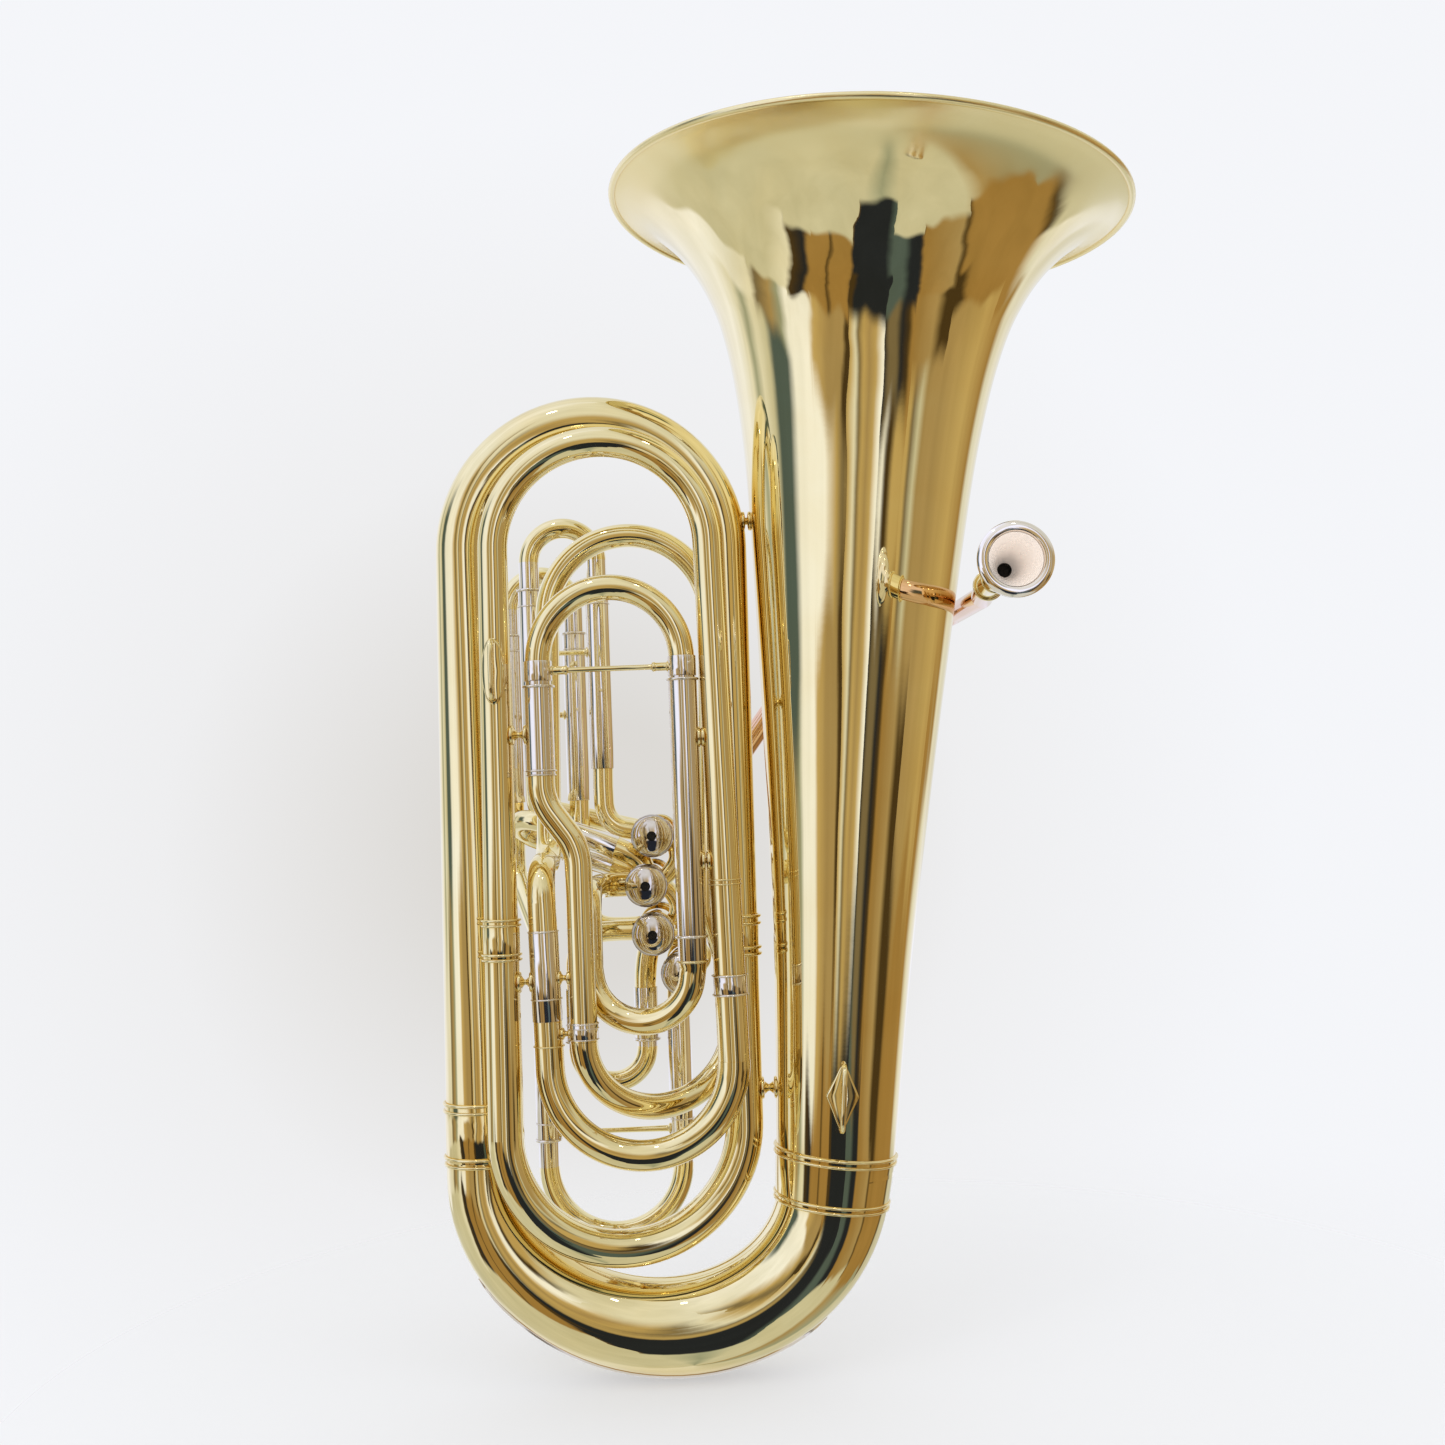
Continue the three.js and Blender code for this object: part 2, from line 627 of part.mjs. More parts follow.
// The route of a U-shaped slide. Its first leg starts at start, runs along axis for legLength, and a
// bow leads to the second leg, which lies across from the first.
function slideRoute({ start, across, axis, legLength }) {
  const along = (base, d) => base.clone().addScaledVector(axis, d);
  const half = across.length() / 2;
  const points = [along(start, LEG_INSET)];
  for (let i = 0; i <= BOW_STEPS; i++) {
    const turn = (Math.PI * i) / BOW_STEPS;
    const p = start.clone().addScaledVector(across, (1 - Math.cos(turn)) / 2);
    points.push(along(p, legLength + half * Math.sin(turn)));
  }
  points.push(along(start.clone().add(across), LEG_INSET));
  return points;
}

// The two outer sleeves of a slide and the bar that holds them together.
function sleevesShape({ start, across, axis, sleeveLength, braceAt }) {
  const side = across.clone().normalize();
  const sleeve = (base) => {
    const line = [base, base.clone().addScaledVector(axis, sleeveLength)];
    return solidOf(tube(line, constant(SLEEVE_R, line), { wall: 0.6, sides: 12 }));
  };
  const reach = SLEEVE_R - 0.35; // the bar ends inside the sleeves' walls
  const bar = [reach, across.length() - reach].map((along) =>
    start.clone().addScaledVector(axis, braceAt).addScaledVector(side, along),
  );
  const brace = solidOf(rod(bar, constant(2, bar), { sides: 8 }));
  return geometryFrom(sleeve(start).add(sleeve(start.clone().add(across))).add(brace));
}

function addValveSlide(name, spec) {
  const route = slideRoute(spec);
  const ends = [spec.axis, spec.axis.clone().negate()];
  const slide = tube(route, constant(SLIDE_R, route), { wall: SLIDE_WALL, ends });
  addPiece(name, slide, NICKEL);
  addPiece(`${name}_sleeves`, sleevesShape(spec), NICKEL);
}

const SLIDES = {
  first_slide: {
    start: at(-90.5, UPPER_SLIDE_Y, 432),
    across: at(53.4, 0, 0),
    axis: UP,
    sleeveLength: 144,
    legLength: 165,
    braceAt: 102,
  },
  fourth_upper_slide: {
    start: at(-112, UPPER_BACK_Y, 408),
    across: at(52.6, 0, 0),
    axis: UP,
    sleeveLength: 136,
    legLength: 156,
    braceAt: 90,
  },
  third_slide: {
    start: at(-62, LOWER_SLIDE_Y, 262),
    across: at(53, 0, 0),
    axis: DOWN,
    sleeveLength: 41,
    legLength: 45,
    braceAt: 20,
  },
  fourth_slide: {
    start: at(-87.5, LOWER_SLIDE_Y, 240),
    across: at(103, 0, 0),
    axis: DOWN,
    sleeveLength: 93,
    legLength: 112,
    braceAt: 90,
  },
  // Points down to the left, with one leg behind the other.
  second_slide: {
    start: at(-27, 80, 370),
    across: at(-6, 36, -14),
    axis: at(-0.93, 0, 0.36).normalize(),
    sleeveLength: 52,
    legLength: 58,
    braceAt: 36,
  },
};

// ---- Crooks between valves and slides ----
function addCrook(name, corners, radius) {
  const points = roundedRoute(corners, radius, 3);
  const shape = tube(points, constant(SLIDE_R, points), { wall: SLIDE_WALL, sides: 8 });
  addPiece(name, shape, YELLOW_BRASS);
}

const CROOK = { firstRise: 4, firstZ: 403, firstY: 168, fourthLowZ: 300, fourthHighZ: 352 };

// From the first valve's left side to the two sleeves of the first slide.
function addFirstCrooks() {
  const { start, across } = SLIDES.first_slide;
  const rightX = start.x + across.x;
  const [x, portZ] = portOf(0, -1);
  const z = portZ + CROOK.firstRise;
  const right = [
    at(rightX, UPPER_SLIDE_Y, start.z - GAP),
    at(rightX, UPPER_SLIDE_Y, z),
    at(x, UPPER_SLIDE_Y, z),
  ];
  addCrook("first_right_crook", right, 22);
  const left = [
    at(start.x, UPPER_SLIDE_Y, start.z - GAP),
    at(start.x, UPPER_SLIDE_Y, CROOK.firstZ),
    at(start.x, CROOK.firstY, CROOK.firstZ),
    at(x, CROOK.firstY, z),
  ];
  addCrook("first_left_crook", left, 16);
}

// From the third valve's left side to the third slide, and back from the fourth slides.
function addLowerCrooks() {
  const third = SLIDES.third_slide.start;
  const fourth = SLIDES.fourth_slide.start;
  const upper = SLIDES.fourth_upper_slide.start;
  const upperRightX = upper.x + SLIDES.fourth_upper_slide.across.x;
  const [x, z] = portOf(2, -1);
  const toThird = [
    at(x, LOWER_SLIDE_Y, z),
    at(third.x, LOWER_SLIDE_Y, z),
    at(third.x, LOWER_SLIDE_Y, third.z + GAP),
  ];
  addCrook("third_crook", toThird, 24);
  const toUpper = [
    at(upperRightX, UPPER_BACK_Y, upper.z - GAP),
    at(upperRightX, UPPER_BACK_Y, z),
    at(x, UPPER_BACK_Y, z),
  ];
  addCrook("fourth_return_crook", toUpper, 24);
  const between = [
    at(fourth.x, LOWER_SLIDE_Y, fourth.z + GAP),
    at(fourth.x, LOWER_SLIDE_Y, CROOK.fourthLowZ),
    at(upper.x, UPPER_BACK_Y, CROOK.fourthHighZ),
    at(upper.x, UPPER_BACK_Y, upper.z - GAP),
  ];
  addCrook("fourth_crook", between, 26);
}

// ---- Leadpipe and mouthpiece ----
const MOUTH_RIM = at(233.5, -215, 537);
const MOUTH_AXIS = at(0, 1, -0.02).normalize();
const mouthPoint = (along) => MOUTH_RIM.clone().addScaledVector(MOUTH_AXIS, along);

// Distance behind the rim, and outer radius there.
const MOUTH_OUTSIDE = [
  [0, 21.7],
  [5, 21.6],
  [10, 19.5],
  [22, 18.2],
  [34, 12.5],
  [42, 7.2],
  [52, 6.2],
  [92, 6.6],
];
// Distance behind the rim, and radius of the cup, throat and backbore there.
const MOUTH_INSIDE = [
  [-1, 16.6],
  [3, 16],
  [14, 14.4],
  [26, 9.5],
  [33, 4],
  [44, 4],
  [93, 5.4],
];
const RECEIVER = { from: 62, collar: 8, to: 106, collarR: 9.6, r: 8.6, wall: 1.4 };

function mouthpieceSolid(profile) {
  const points = profile.map(([along]) => mouthPoint(along));
  const radii = profile.map(([, r]) => r);
  return solidOf(rod(points, radii, { sides: 18 }));
}

function addMouthpiece() {
  const shape = mouthpieceSolid(MOUTH_OUTSIDE).subtract(mouthpieceSolid(MOUTH_INSIDE));
  addPiece("mouthpiece", geometryFrom(shape), SILVER);
}

// The tube on the end of the leadpipe that grips the mouthpiece's shank.
function addReceiver() {
  const { from, collar, to, collarR, r, wall } = RECEIVER;
  const points = [from, from + collar, from + collar + 0.1, to].map(mouthPoint);
  const shape = tube(points, [collarR, collarR, r, r], { wall, sides: 14 });
  addPiece("mouthpiece_receiver", shape, NICKEL);
}

const LEADPIPE = {
  x: 239,
  frontY: -55,
  frontZ: 535,
  backY: 98,
  backZ: 540,
  middle: [104, 102, 482],
  portY: 98,
  endX: 27,
  radii: [7.4, 8.6],
};

// Back past the right of the bell, round behind it and down to the first valve.
function addLeadpipe() {
  const [portX, portZ] = portOf(0, 1);
  const { x, frontY, frontZ, backY, backZ, middle, portY, endX, radii: bore } = LEADPIPE;
  const round = [
    mouthPoint(RECEIVER.to + GAP),
    at(x, frontY, frontZ),
    at(x, backY, backZ),
    at(...middle),
  ];
  const down = [round[2], round[3], at(endX, portY, portZ), at(portX, portY, portZ)];
  const points = roundedRoute(round, 40, 3).slice(0, -1);
  points.push(...roundedRoute(down, 12, 2).slice(1));
  const radii = evenRadii(...bore, points.length);
  addPiece("leadpipe", tube(points, radii, { ends: [MOUTH_AXIS, at(-1, 0, 0)] }), ROSE_BRASS);
}

// ---- Strap rings ----
const STRAP = { wireR: 1.9, lift: 2.4, bellBelow: 633, bellHeight: 44, bellReach: 12 };
const BRANCH_STRAP = { x: -99, z: 498, height: 40, reach: 11 };

// A wire loop that stands off the front of a branch, from half its height below centre to half above.
function addStrapRing(name, centre, up, height, reach) {
  const foot = (side, out) => centre.clone().addScaledVector(up, (side * height) / 2).setY(out);
  const outY = centre.y - reach;
  const corners = [foot(-1, centre.y), foot(-1, outY), foot(1, outY), foot(1, centre.y)];
  const points = roundedRoute(corners, reach * 0.8, 3);
  addPiece(name, rod(points, constant(STRAP.wireR, points), { sides: 8 }), YELLOW_BRASS);
}

function addStrapRings() {
  const bellRing = bellPoint(STRAP.bellBelow);
  bellRing.y = -(BELL_FERRULE.r + 1.6 + STRAP.lift);
  addStrapRing("bell_strap_ring", bellRing, bellAxis, STRAP.bellHeight, STRAP.bellReach);
  const { x, z, height, reach } = BRANCH_STRAP;
  const branchRing = at(x, FRONT_Y - 10.9 - STRAP.lift, z);
  addStrapRing("branch_strap_ring", branchRing, UP, height, reach);
}

// Moves the tuba so that it stands on Z = 0 with the middle of its box over the origin.
function centreOnOrigin() {
  const box = new THREE.Box3().setFromObject(tuba, true);
  const middle = box.getCenter(new THREE.Vector3());
  tuba.position.set(-middle.x, -middle.y, -box.min.z);
}

addBell();
addBottomBow();
addBowGuard();
addBellFerrule();
addOuterBranches();
addSecondBow();
addInnerBranches();
addThirdBranches();
addFourthBranches();
addMainSlide();
addMainSlideBrace();
addOffsetTube();
addExitBow();
addValveBlock();
VALVE_CENTRES.forEach((centre, i) => {
  addBottomCap(i + 1, centre);
  addTopCap(i + 1, centre);
  addPiston(i + 1, centre);
  addButton(i + 1, centre);
  addSpring(i + 1, centre);
});
for (const [name, spec] of Object.entries(SLIDES)) addValveSlide(name, spec);
addFirstCrooks();
addLowerCrooks();
addLeadpipe();
addReceiver();
addMouthpiece();
addStrapRings();
centreOnOrigin();

export default tuba;
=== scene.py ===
"""A three-quarter tuba in lacquered brass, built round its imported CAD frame.

Each CAD tube is a facetted ring-by-ring sweep. The script reads the rings back from the node's mesh
and sweeps them again as a smooth tube, so every piece stays where the frame has it. Ferrules, beads,
braces and plates are then added on those tubes. Lengths in capitals are in millimetres.
"""

import json
import math
from collections import namedtuple

import bmesh
import bpy
import numpy as np
from mathutils import Matrix, Vector


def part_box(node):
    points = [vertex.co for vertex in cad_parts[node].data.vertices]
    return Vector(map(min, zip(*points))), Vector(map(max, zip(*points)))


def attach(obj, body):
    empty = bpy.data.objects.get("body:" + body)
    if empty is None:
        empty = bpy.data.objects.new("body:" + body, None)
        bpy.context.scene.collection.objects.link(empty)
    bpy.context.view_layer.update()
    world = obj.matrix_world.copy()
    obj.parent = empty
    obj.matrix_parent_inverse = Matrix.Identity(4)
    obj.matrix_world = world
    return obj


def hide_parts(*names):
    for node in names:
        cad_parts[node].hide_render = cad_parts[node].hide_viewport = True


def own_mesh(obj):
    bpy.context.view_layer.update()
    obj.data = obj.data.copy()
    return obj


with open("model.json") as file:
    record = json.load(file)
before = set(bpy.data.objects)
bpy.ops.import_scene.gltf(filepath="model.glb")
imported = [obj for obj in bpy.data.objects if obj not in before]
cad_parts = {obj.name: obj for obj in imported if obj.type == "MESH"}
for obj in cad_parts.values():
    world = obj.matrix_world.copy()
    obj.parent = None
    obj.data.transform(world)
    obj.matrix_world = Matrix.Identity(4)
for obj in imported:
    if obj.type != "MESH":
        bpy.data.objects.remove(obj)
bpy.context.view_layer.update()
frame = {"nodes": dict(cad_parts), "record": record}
NODES = frame["nodes"]
JOINT_AXIS = {
    j["name"]: Vector(j["axis"]).normalized() for j in frame["record"]["behaviour"]["joints"]
}
MM = 0.001
UP = Vector((0, 0, 1))
RIGHT = Vector((1, 0, 0))
FRONT = Vector((0, -1, 0))  # towards the viewer
BACK = Vector((0, 1, 0))
BODY = "body"

Station = namedtuple("Station", "p t r inner")  # centre, direction, outer and inner radius


# ---- Reading the frame ----


def merged_mesh(node):
    """A CAD node's points and triangles, with the copies of each point merged."""
    mesh = NODES[node].data
    co = np.array([v.co for v in mesh.vertices])
    points, index = np.unique(np.round(co, 6), axis=0, return_inverse=True)
    index = index.reshape(-1)
    return points, [tuple(int(index[i]) for i in f.vertices) for f in mesh.polygons]


def end_faces(points, faces, shortest=0.55 * MM, longest=1.35 * MM, together=16):
    """The triangles that close the ends of a hollow tube, highest first: they have an edge as short
    as its wall, and a whole ring of them faces one way."""
    found, normals = [], []
    for face in faces:
        for a, b in zip(face, face[1:] + face[:1]):
            if shortest < np.linalg.norm(points[a] - points[b]) < longest:
                normal = np.cross(points[face[1]] - points[face[0]], points[face[2]] - points[face[0]])
                found.append(face)
                normals.append(normal / np.linalg.norm(normal))
                break
    alike = (np.array(normals) @ np.array(normals).T > 0.9999).sum(axis=1)
    found = [face for face, count in zip(found, alike) if count >= together]
    return sorted(found, key=lambda face: -max(points[v][2] for v in face))


def connected(faces):
    """The vertex set of the group of faces that share vertices with the first one."""
    group = set(faces[0])
    grew = True
    while grew:
        grew = False
        for face in faces:
            if not group.issuperset(face) and sum(v in group for v in face) >= 2:
                group.update(face)
                grew = True
    return group


def levels_from(start, faces):
    """Sets of vertices, one per ring, in order from the starting set."""
    near = {}
    for face in faces:
        for v in face:
            near.setdefault(v, set()).update(face)
    done, rings, now = set(start), [sorted(start)], set(start)
    while True:
        now = {n for v in now for n in near[v]} - done
        if not now:
            return rings
        done |= now
        rings.append(sorted(now))


def stations_of(node):
    """The rings of a hollow CAD tube as stations, from its upper end (or its end nearer -Y)."""
    points, faces = merged_mesh(node)
    rings = levels_from(connected(end_faces(points, faces)), faces)
    centres = [points[ring].mean(axis=0) for ring in rings]
    stations = []
    for i, ring in enumerate(rings):
        away = points[ring] - centres[i]
        radii = np.linalg.norm(away, axis=1)
        normal = np.linalg.svd(away)[2][2]
        travel = centres[min(i + 1, len(rings) - 1)] - centres[max(i - 1, 0)]
        if normal @ travel < 0:
            normal = -normal
        stations.append(
            Station(Vector(centres[i]), Vector(normal), float(radii.max()), float(radii.min()))
        )
    first, last = stations[0].p, stations[-1].p
    if (last.z - first.z) - 0.5 * (last.y - first.y) > 0:
        stations = [Station(s.p, -s.t, s.r, s.inner) for s in reversed(stations)]
    return stations


def cubic(a, leave, b, arrive, s):
    """A share s of the way along the cubic from a to b with the given rates at its ends."""
    return (
        a * (2 * s**3 - 3 * s**2 + 1)
        + leave * (s**3 - 2 * s**2 + s)
        + b * (3 * s**2 - 2 * s**3)
        + arrive * (s**3 - s**2)
    )


def cubic_rate(a, leave, b, arrive, s):
    """The rate of change of the same cubic."""
    return (
        a * (6 * s**2 - 6 * s)
        + leave * (3 * s**2 - 4 * s + 1)
        + b * (6 * s - 6 * s**2)
        + arrive * (3 * s**2 - 2 * s)
    )


def smooth(stations, turn=math.radians(4), most=14):
    """The same route with stations between, on cubic curves that keep each station's direction.
    Returns the stations and, for each, the number of the CAD segment it starts."""
    out, segment = [], []
    for k, (a, b) in enumerate(zip(stations, stations[1:])):
        angle = a.t.angle(b.t)
        chord = (b.p - a.p).length
        stretch = 2 * math.tan(angle / 4) / math.sin(angle / 2) if angle > 0.01 else 1.0
        leave, arrive = a.t * chord * stretch, b.t * chord * stretch
        steps = min(most, max(1, math.ceil(angle / turn)))
        for i in range(steps):
            s = i / steps
            p = cubic(a.p, leave, b.p, arrive, s)
            t = cubic_rate(a.p, leave, b.p, arrive, s).normalized()
            out.append(Station(p, t, a.r + (b.r - a.r) * s, a.inner + (b.inner - a.inner) * s))
            segment.append(k)
    out.append(stations[-1])
    segment.append(len(stations) - 2)
    return out, segment


ROUTES = {}
OVERRUN = 0.17 * MM  # half the gap the frame leaves between two tubes


def route(node):
    """The smooth route of a CAD tube, worked out once, with its ends run on to meet its neighbours."""
    if node not in ROUTES:
        stations, segment = smooth(stations_of(node))
        for end, way in ((0, -1), (-1, 1)):
            s = stations[end]
            stations[end] = s._replace(p=s.p + s.t * (way * OVERRUN))
        ROUTES[node] = stations, segment
    return ROUTES[node]


def tube_at(node, z, leg=0):
    """The station where a tube passes the height z (in metres): its first crossing, or its last."""
    stations = route(node)[0]
    hits = []
    for a, b in zip(stations, stations[1:]):
        if (a.p.z - z) * (b.p.z - z) <= 0 and a.p.z != b.p.z:
            s = (z - a.p.z) / (b.p.z - a.p.z)
            way = a.t.lerp(b.t, s).normalized()
            hits.append(Station(a.p.lerp(b.p, s), way, a.r + (b.r - a.r) * s, a.inner))
    if not hits:
        raise ValueError(f"{node} doesn't pass z {z:.3f}")
    return hits[leg]


def middle(node):
    low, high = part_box(node)
    return (low + high) / 2


def radius_of(node):
    """Half the width of a round node whose axis runs front to back."""
    low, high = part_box(node)
    return (high.x - low.x) / 2


def span_along(node, axis):
    """A round node's centre line along an axis: its start point and its length."""
    points = merged_mesh(node)[0]
    centre = Vector(points.mean(axis=0))
    along = (points - np.array(centre)) @ np.array(axis)
    return centre + axis * float(along.min()), float(along.max() - along.min())


# ---- Making meshes ----


def make_piece(name, verts, faces, materials, body=BODY, replaces=(), slots=None, crease=38):
    """A smooth-shaded mesh piece that rides on a CAD body and may stand for CAD nodes."""
    mesh = bpy.data.meshes.new(name)
    mesh.from_pydata([tuple(v) for v in verts], [], faces)
    for material in materials:
        mesh.materials.append(material)
    if slots:
        mesh.polygons.foreach_set("material_index", slots)
    work = bmesh.new()
    work.from_mesh(mesh)
    bmesh.ops.remove_doubles(work, verts=work.verts, dist=2e-6)
    bmesh.ops.recalc_face_normals(work, faces=work.faces)
    work.to_mesh(mesh)
    work.free()
    mesh.polygons.foreach_set("use_smooth", [True] * len(mesh.polygons))
    mesh.set_sharp_from_angle(angle=math.radians(crease))
    mesh.update()
    obj = bpy.data.objects.new(name, mesh)
    bpy.context.scene.collection.objects.link(obj)
    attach(obj, body)
    if replaces:
        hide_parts(*replaces)
    return obj


def across_axes(stations):
    """For each station, two directions square to its own that turn as little as they can."""
    t = stations[0].t
    u = (RIGHT if abs(t.y) > 0.9 else BACK).cross(t).normalized()
    axes = []
    for i, s in enumerate(stations):
        if i:
            u = stations[i - 1].t.rotation_difference(s.t) @ u
            u = (u - s.t * u.dot(s.t)).normalized()
        axes.append((u, s.t.cross(u)))
    return axes


def ring(p, u, v, r, sides):
    turns = (2 * math.pi * k / sides for k in range(sides))
    return [p + u * (r * math.cos(a)) + v * (r * math.sin(a)) for a in turns]


def strip(a, b, sides):
    """The quads between two rings whose first vertices are a and b."""
    return [(a + k, a + (k + 1) % sides, b + (k + 1) % sides, b + k) for k in range(sides)]


def sweep(name, stations, materials, sides=48, paint=None, **more):
    """A hollow tube along stations. paint gives the material number of each stretch of it."""
    axes = across_axes(stations)
    verts, faces, slots = [], [], []
    for s, (u, v) in zip(stations, axes):
        verts += ring(s.p, u, v, s.r, sides)
    inner_from = len(verts)
    for s, (u, v) in zip(stations, axes):
        verts += ring(s.p, u, v, s.inner, sides)
    last = len(stations) - 1
    for i in range(last):
        for base in (0, inner_from):
            faces += strip(base + i * sides, base + (i + 1) * sides, sides)
            slots += [paint[i] if paint else 0] * sides
    for i in (0, last):
        faces += strip(i * sides, inner_from + i * sides, sides)
        slots += [paint[min(i, last - 1)] if paint else 0] * sides
    return make_piece(name, verts, faces, materials, slots=slots, **more)


def lathe(name, origin, axis, profile, materials, sides=48, closed=False, **more):
    """A turned piece: profile is a list of (distance along axis, radius), in metres."""
    u = axis.orthogonal().normalized()
    v = axis.cross(u)
    verts = []
    for along, r in profile:
        verts += ring(origin + axis * along, u, v, max(r, 1e-7), sides)
    faces = []
    count = len(profile)
    for i in range(count if closed else count - 1):
        faces += strip(i * sides, ((i + 1) % count) * sides, sides)
    return make_piece(name, verts, faces, materials, **more)


def stations_on(path, r, inner):
    """A station at each point of a path, facing the way the path runs there."""
    last = len(path) - 1
    ways = (path[min(k + 1, last)] - path[max(k - 1, 0)] for k in range(last + 1))
    return [Station(p, way.normalized(), r, inner) for p, way in zip(path, ways)]


def bent_tube(name, corners, r, inner, metal_of, steps=16):
    """A tube along the curve that the corner points pull on (a Bezier curve)."""

    def place(s):
        points = corners
        while len(points) > 1:
            points = [a.lerp(b, s) for a, b in zip(points, points[1:])]
        return points[0]

    path = [place(k / steps) for k in range(steps + 1)]
    sweep(name, stations_on(path, r, inner), [metal_of], 32)


def rounded(profile, radius, steps=3):
    """A profile whose inner corners are cut to arcs of about the given radius."""
    out = [Vector(profile[0])]
    for before, corner, after in zip(profile, profile[1:], profile[2:]):
        corner, before, after = Vector(corner), Vector(before), Vector(after)
        back, on = before - corner, after - corner
        reach = min(radius, back.length / 2.2, on.length / 2.2)
        start, end = corner + back.normalized() * reach, corner + on.normalized() * reach
        for k in range(steps + 1):
            s = k / steps
            out.append(start * (1 - s) ** 2 + corner * (2 * s * (1 - s)) + end * s**2)
    out.append(Vector(profile[-1]))
    return [tuple(p) for p in out]


def wall(length, inner, outer):
    """The outline of a plain hollow cylinder."""
    return [(0, inner), (0, outer), (length, outer), (length, inner)]


def mirrored(half, length):
    """A profile whose second half mirrors its first about the middle of its length."""
    return half + [(length - x, r) for x, r in reversed(half[:-1])]


def bead_profile(along, r, wire, steps=12):
    """A round wire laid on a tube of radius r, as a closed profile."""
    turns = (2 * math.pi * k / steps for k in range(steps))
    return [(along + wire * math.cos(a), r + wire * 0.55 + wire * math.sin(a)) for a in turns]


# ---- Materials ----


def feed(tree, node, inputs):
    """Sets a shader node's inputs to values, or links them to sockets."""
    for key, value in inputs.items():
        if isinstance(value, bpy.types.NodeSocket):
            tree.links.new(value, node.inputs[key])
        else:
            node.inputs[key].default_value = value


def add_node(tree, kind, inputs, **settings):
    node = tree.nodes.new(f"ShaderNode{kind}")
    for name, value in settings.items():
        setattr(node, name, value)
    feed(tree, node, inputs)
    return node


def new_material(name, slot=None):
    """A material with its node tree, its shader and the place on the object that its nodes read."""
    material = bpy.data.materials.new(name)
    if slot:
        material["slot"] = slot
    material.use_nodes = True
    tree = material.node_tree
    place = add_node(tree, "TexCoord", {}).outputs["Object"]
    return material, tree, tree.nodes["Principled BSDF"], place


def math_node(tree, operation, *values, clamp=False):
    inputs = dict(enumerate(values))
    return add_node(tree, "Math", inputs, operation=operation, use_clamp=clamp).outputs[0]


def multiply_add(tree, value, factor, addend):
    return math_node(tree, "MULTIPLY_ADD", value, factor, addend)


def noise_node(tree, vector, scale, detail=3.0, distortion=0.0):
    inputs = {"Vector": vector, "Scale": scale, "Detail": detail, "Distortion": distortion}
    return add_node(tree, "TexNoise", inputs).outputs["Fac"]


def stretched(tree, vector, scale):
    return add_node(tree, "Mapping", {"Vector": vector, "Scale": scale}).outputs["Vector"]


def ramp_node(tree, factor, stops, interpolation="LINEAR"):
    node = add_node(tree, "ValToRGB", {"Fac": factor})
    ramp = node.color_ramp
    ramp.interpolation = interpolation
    while len(ramp.elements) < len(stops):
        ramp.elements.new(0.5)
    for element, (place, color) in zip(ramp.elements, stops):
        element.position = place
        element.color = (*color, 1)
    return node.outputs["Color"]


def mix_colors(tree, factor, a, b, blend="MIX"):
    inputs = {0: factor, 6: a, 7: b}
    return add_node(tree, "Mix", inputs, data_type="RGBA", blend_type=blend).outputs[2]


def fade_in(tree, value, low, high):
    """0 below low, 1 above high, and smooth between."""
    inputs = {"Value": value, "From Min": low, "From Max": high}
    return add_node(tree, "MapRange", inputs, interpolation_type="SMOOTHSTEP").outputs["Result"]


SHADE_REACH = 18  # how far from a neighbouring surface a metal gets painted shade (a deeper colour) and more roughness
BUMP_HEIGHT = 0.2
LACQUER_IOR = 1.45


def metal(name, slot, fresh, deep_tone_and_shade, roughness, lacquer=0.0, shine=1.0, glow=0.0, rim=1.0):
    """Polished metal: cloudy colour, polishing lines, fine dimples and waves, and painted shade in its
    hollows (a deeper colour near other surfaces, where it is rougher too). A rim below 1 paints shade on
    it where it turns
    away, and glow is painted light: a glow that it gives out by itself."""
    material, tree, shader, place = new_material(name, slot)
    clouds = noise_node(tree, place, 14, 4, 0.6)
    spots = noise_node(tree, place, 160, 2)
    lines = noise_node(tree, stretched(tree, place, (500, 500, 14)), 1.0, 2)
    # Painted shade: near other surfaces (by ambient occlusion) the colour turns to the deeper tone and
    # the metal gets rougher; the clouds add random tone of its own.
    hollow = add_node(tree, "AmbientOcclusion", {"Distance": SHADE_REACH * MM}, samples=6)
    shade_and_wear = math_node(tree, "SUBTRACT", 1.0, hollow.outputs["AO"])
    cloud_share = math_node(tree, "MULTIPLY", clouds, 0.55)
    tone_and_shade = math_node(tree, "MULTIPLY_ADD", shade_and_wear, 0.9, cloud_share, clamp=True)
    color = ramp_node(tree, tone_and_shade, [(0.18, fresh), (0.95, deep_tone_and_shade)])
    # Painted shade: the colour darkens where the surface turns away from the viewer.
    if rim < 1:
        facing = add_node(tree, "LayerWeight", {}).outputs["Facing"]
        shade = ramp_node(tree, facing, [(0.12, (1, 1, 1)), (0.8, (rim, rim * 0.93, rim * 0.88))])
        color = mix_colors(tree, 1.0, color, shade, "MULTIPLY")
    rough = math_node(tree, "MULTIPLY", math_node(tree, "ADD", clouds, spots), roughness * 0.7)
    rough = multiply_add(tree, shade_and_wear, 0.05, rough)
    rough = math_node(tree, "ADD", rough, roughness * 0.35, clamp=True)
    waves = noise_node(tree, place, 30, 1)
    height = multiply_add(tree, waves, 4.0, multiply_add(tree, lines, 0.05, spots))
    dents = {"Strength": 0.03, "Distance": BUMP_HEIGHT * MM, "Height": height}
    normal = add_node(tree, "Bump", dents).outputs["Normal"]
    feed(tree, shader, {"Base Color": color, "Metallic": shine, "Roughness": rough, "Normal": normal})
    # Painted light: the colour is given out as a glow, though the metal is no lamp.
    if glow:
        feed(tree, shader, {"Emission Color": color, "Emission Strength": glow})
    if lacquer:
        coat = {"Coat Weight": lacquer, "Coat Roughness": 0.03, "Coat IOR": LACQUER_IOR}
        feed(tree, shader, coat)
    return material
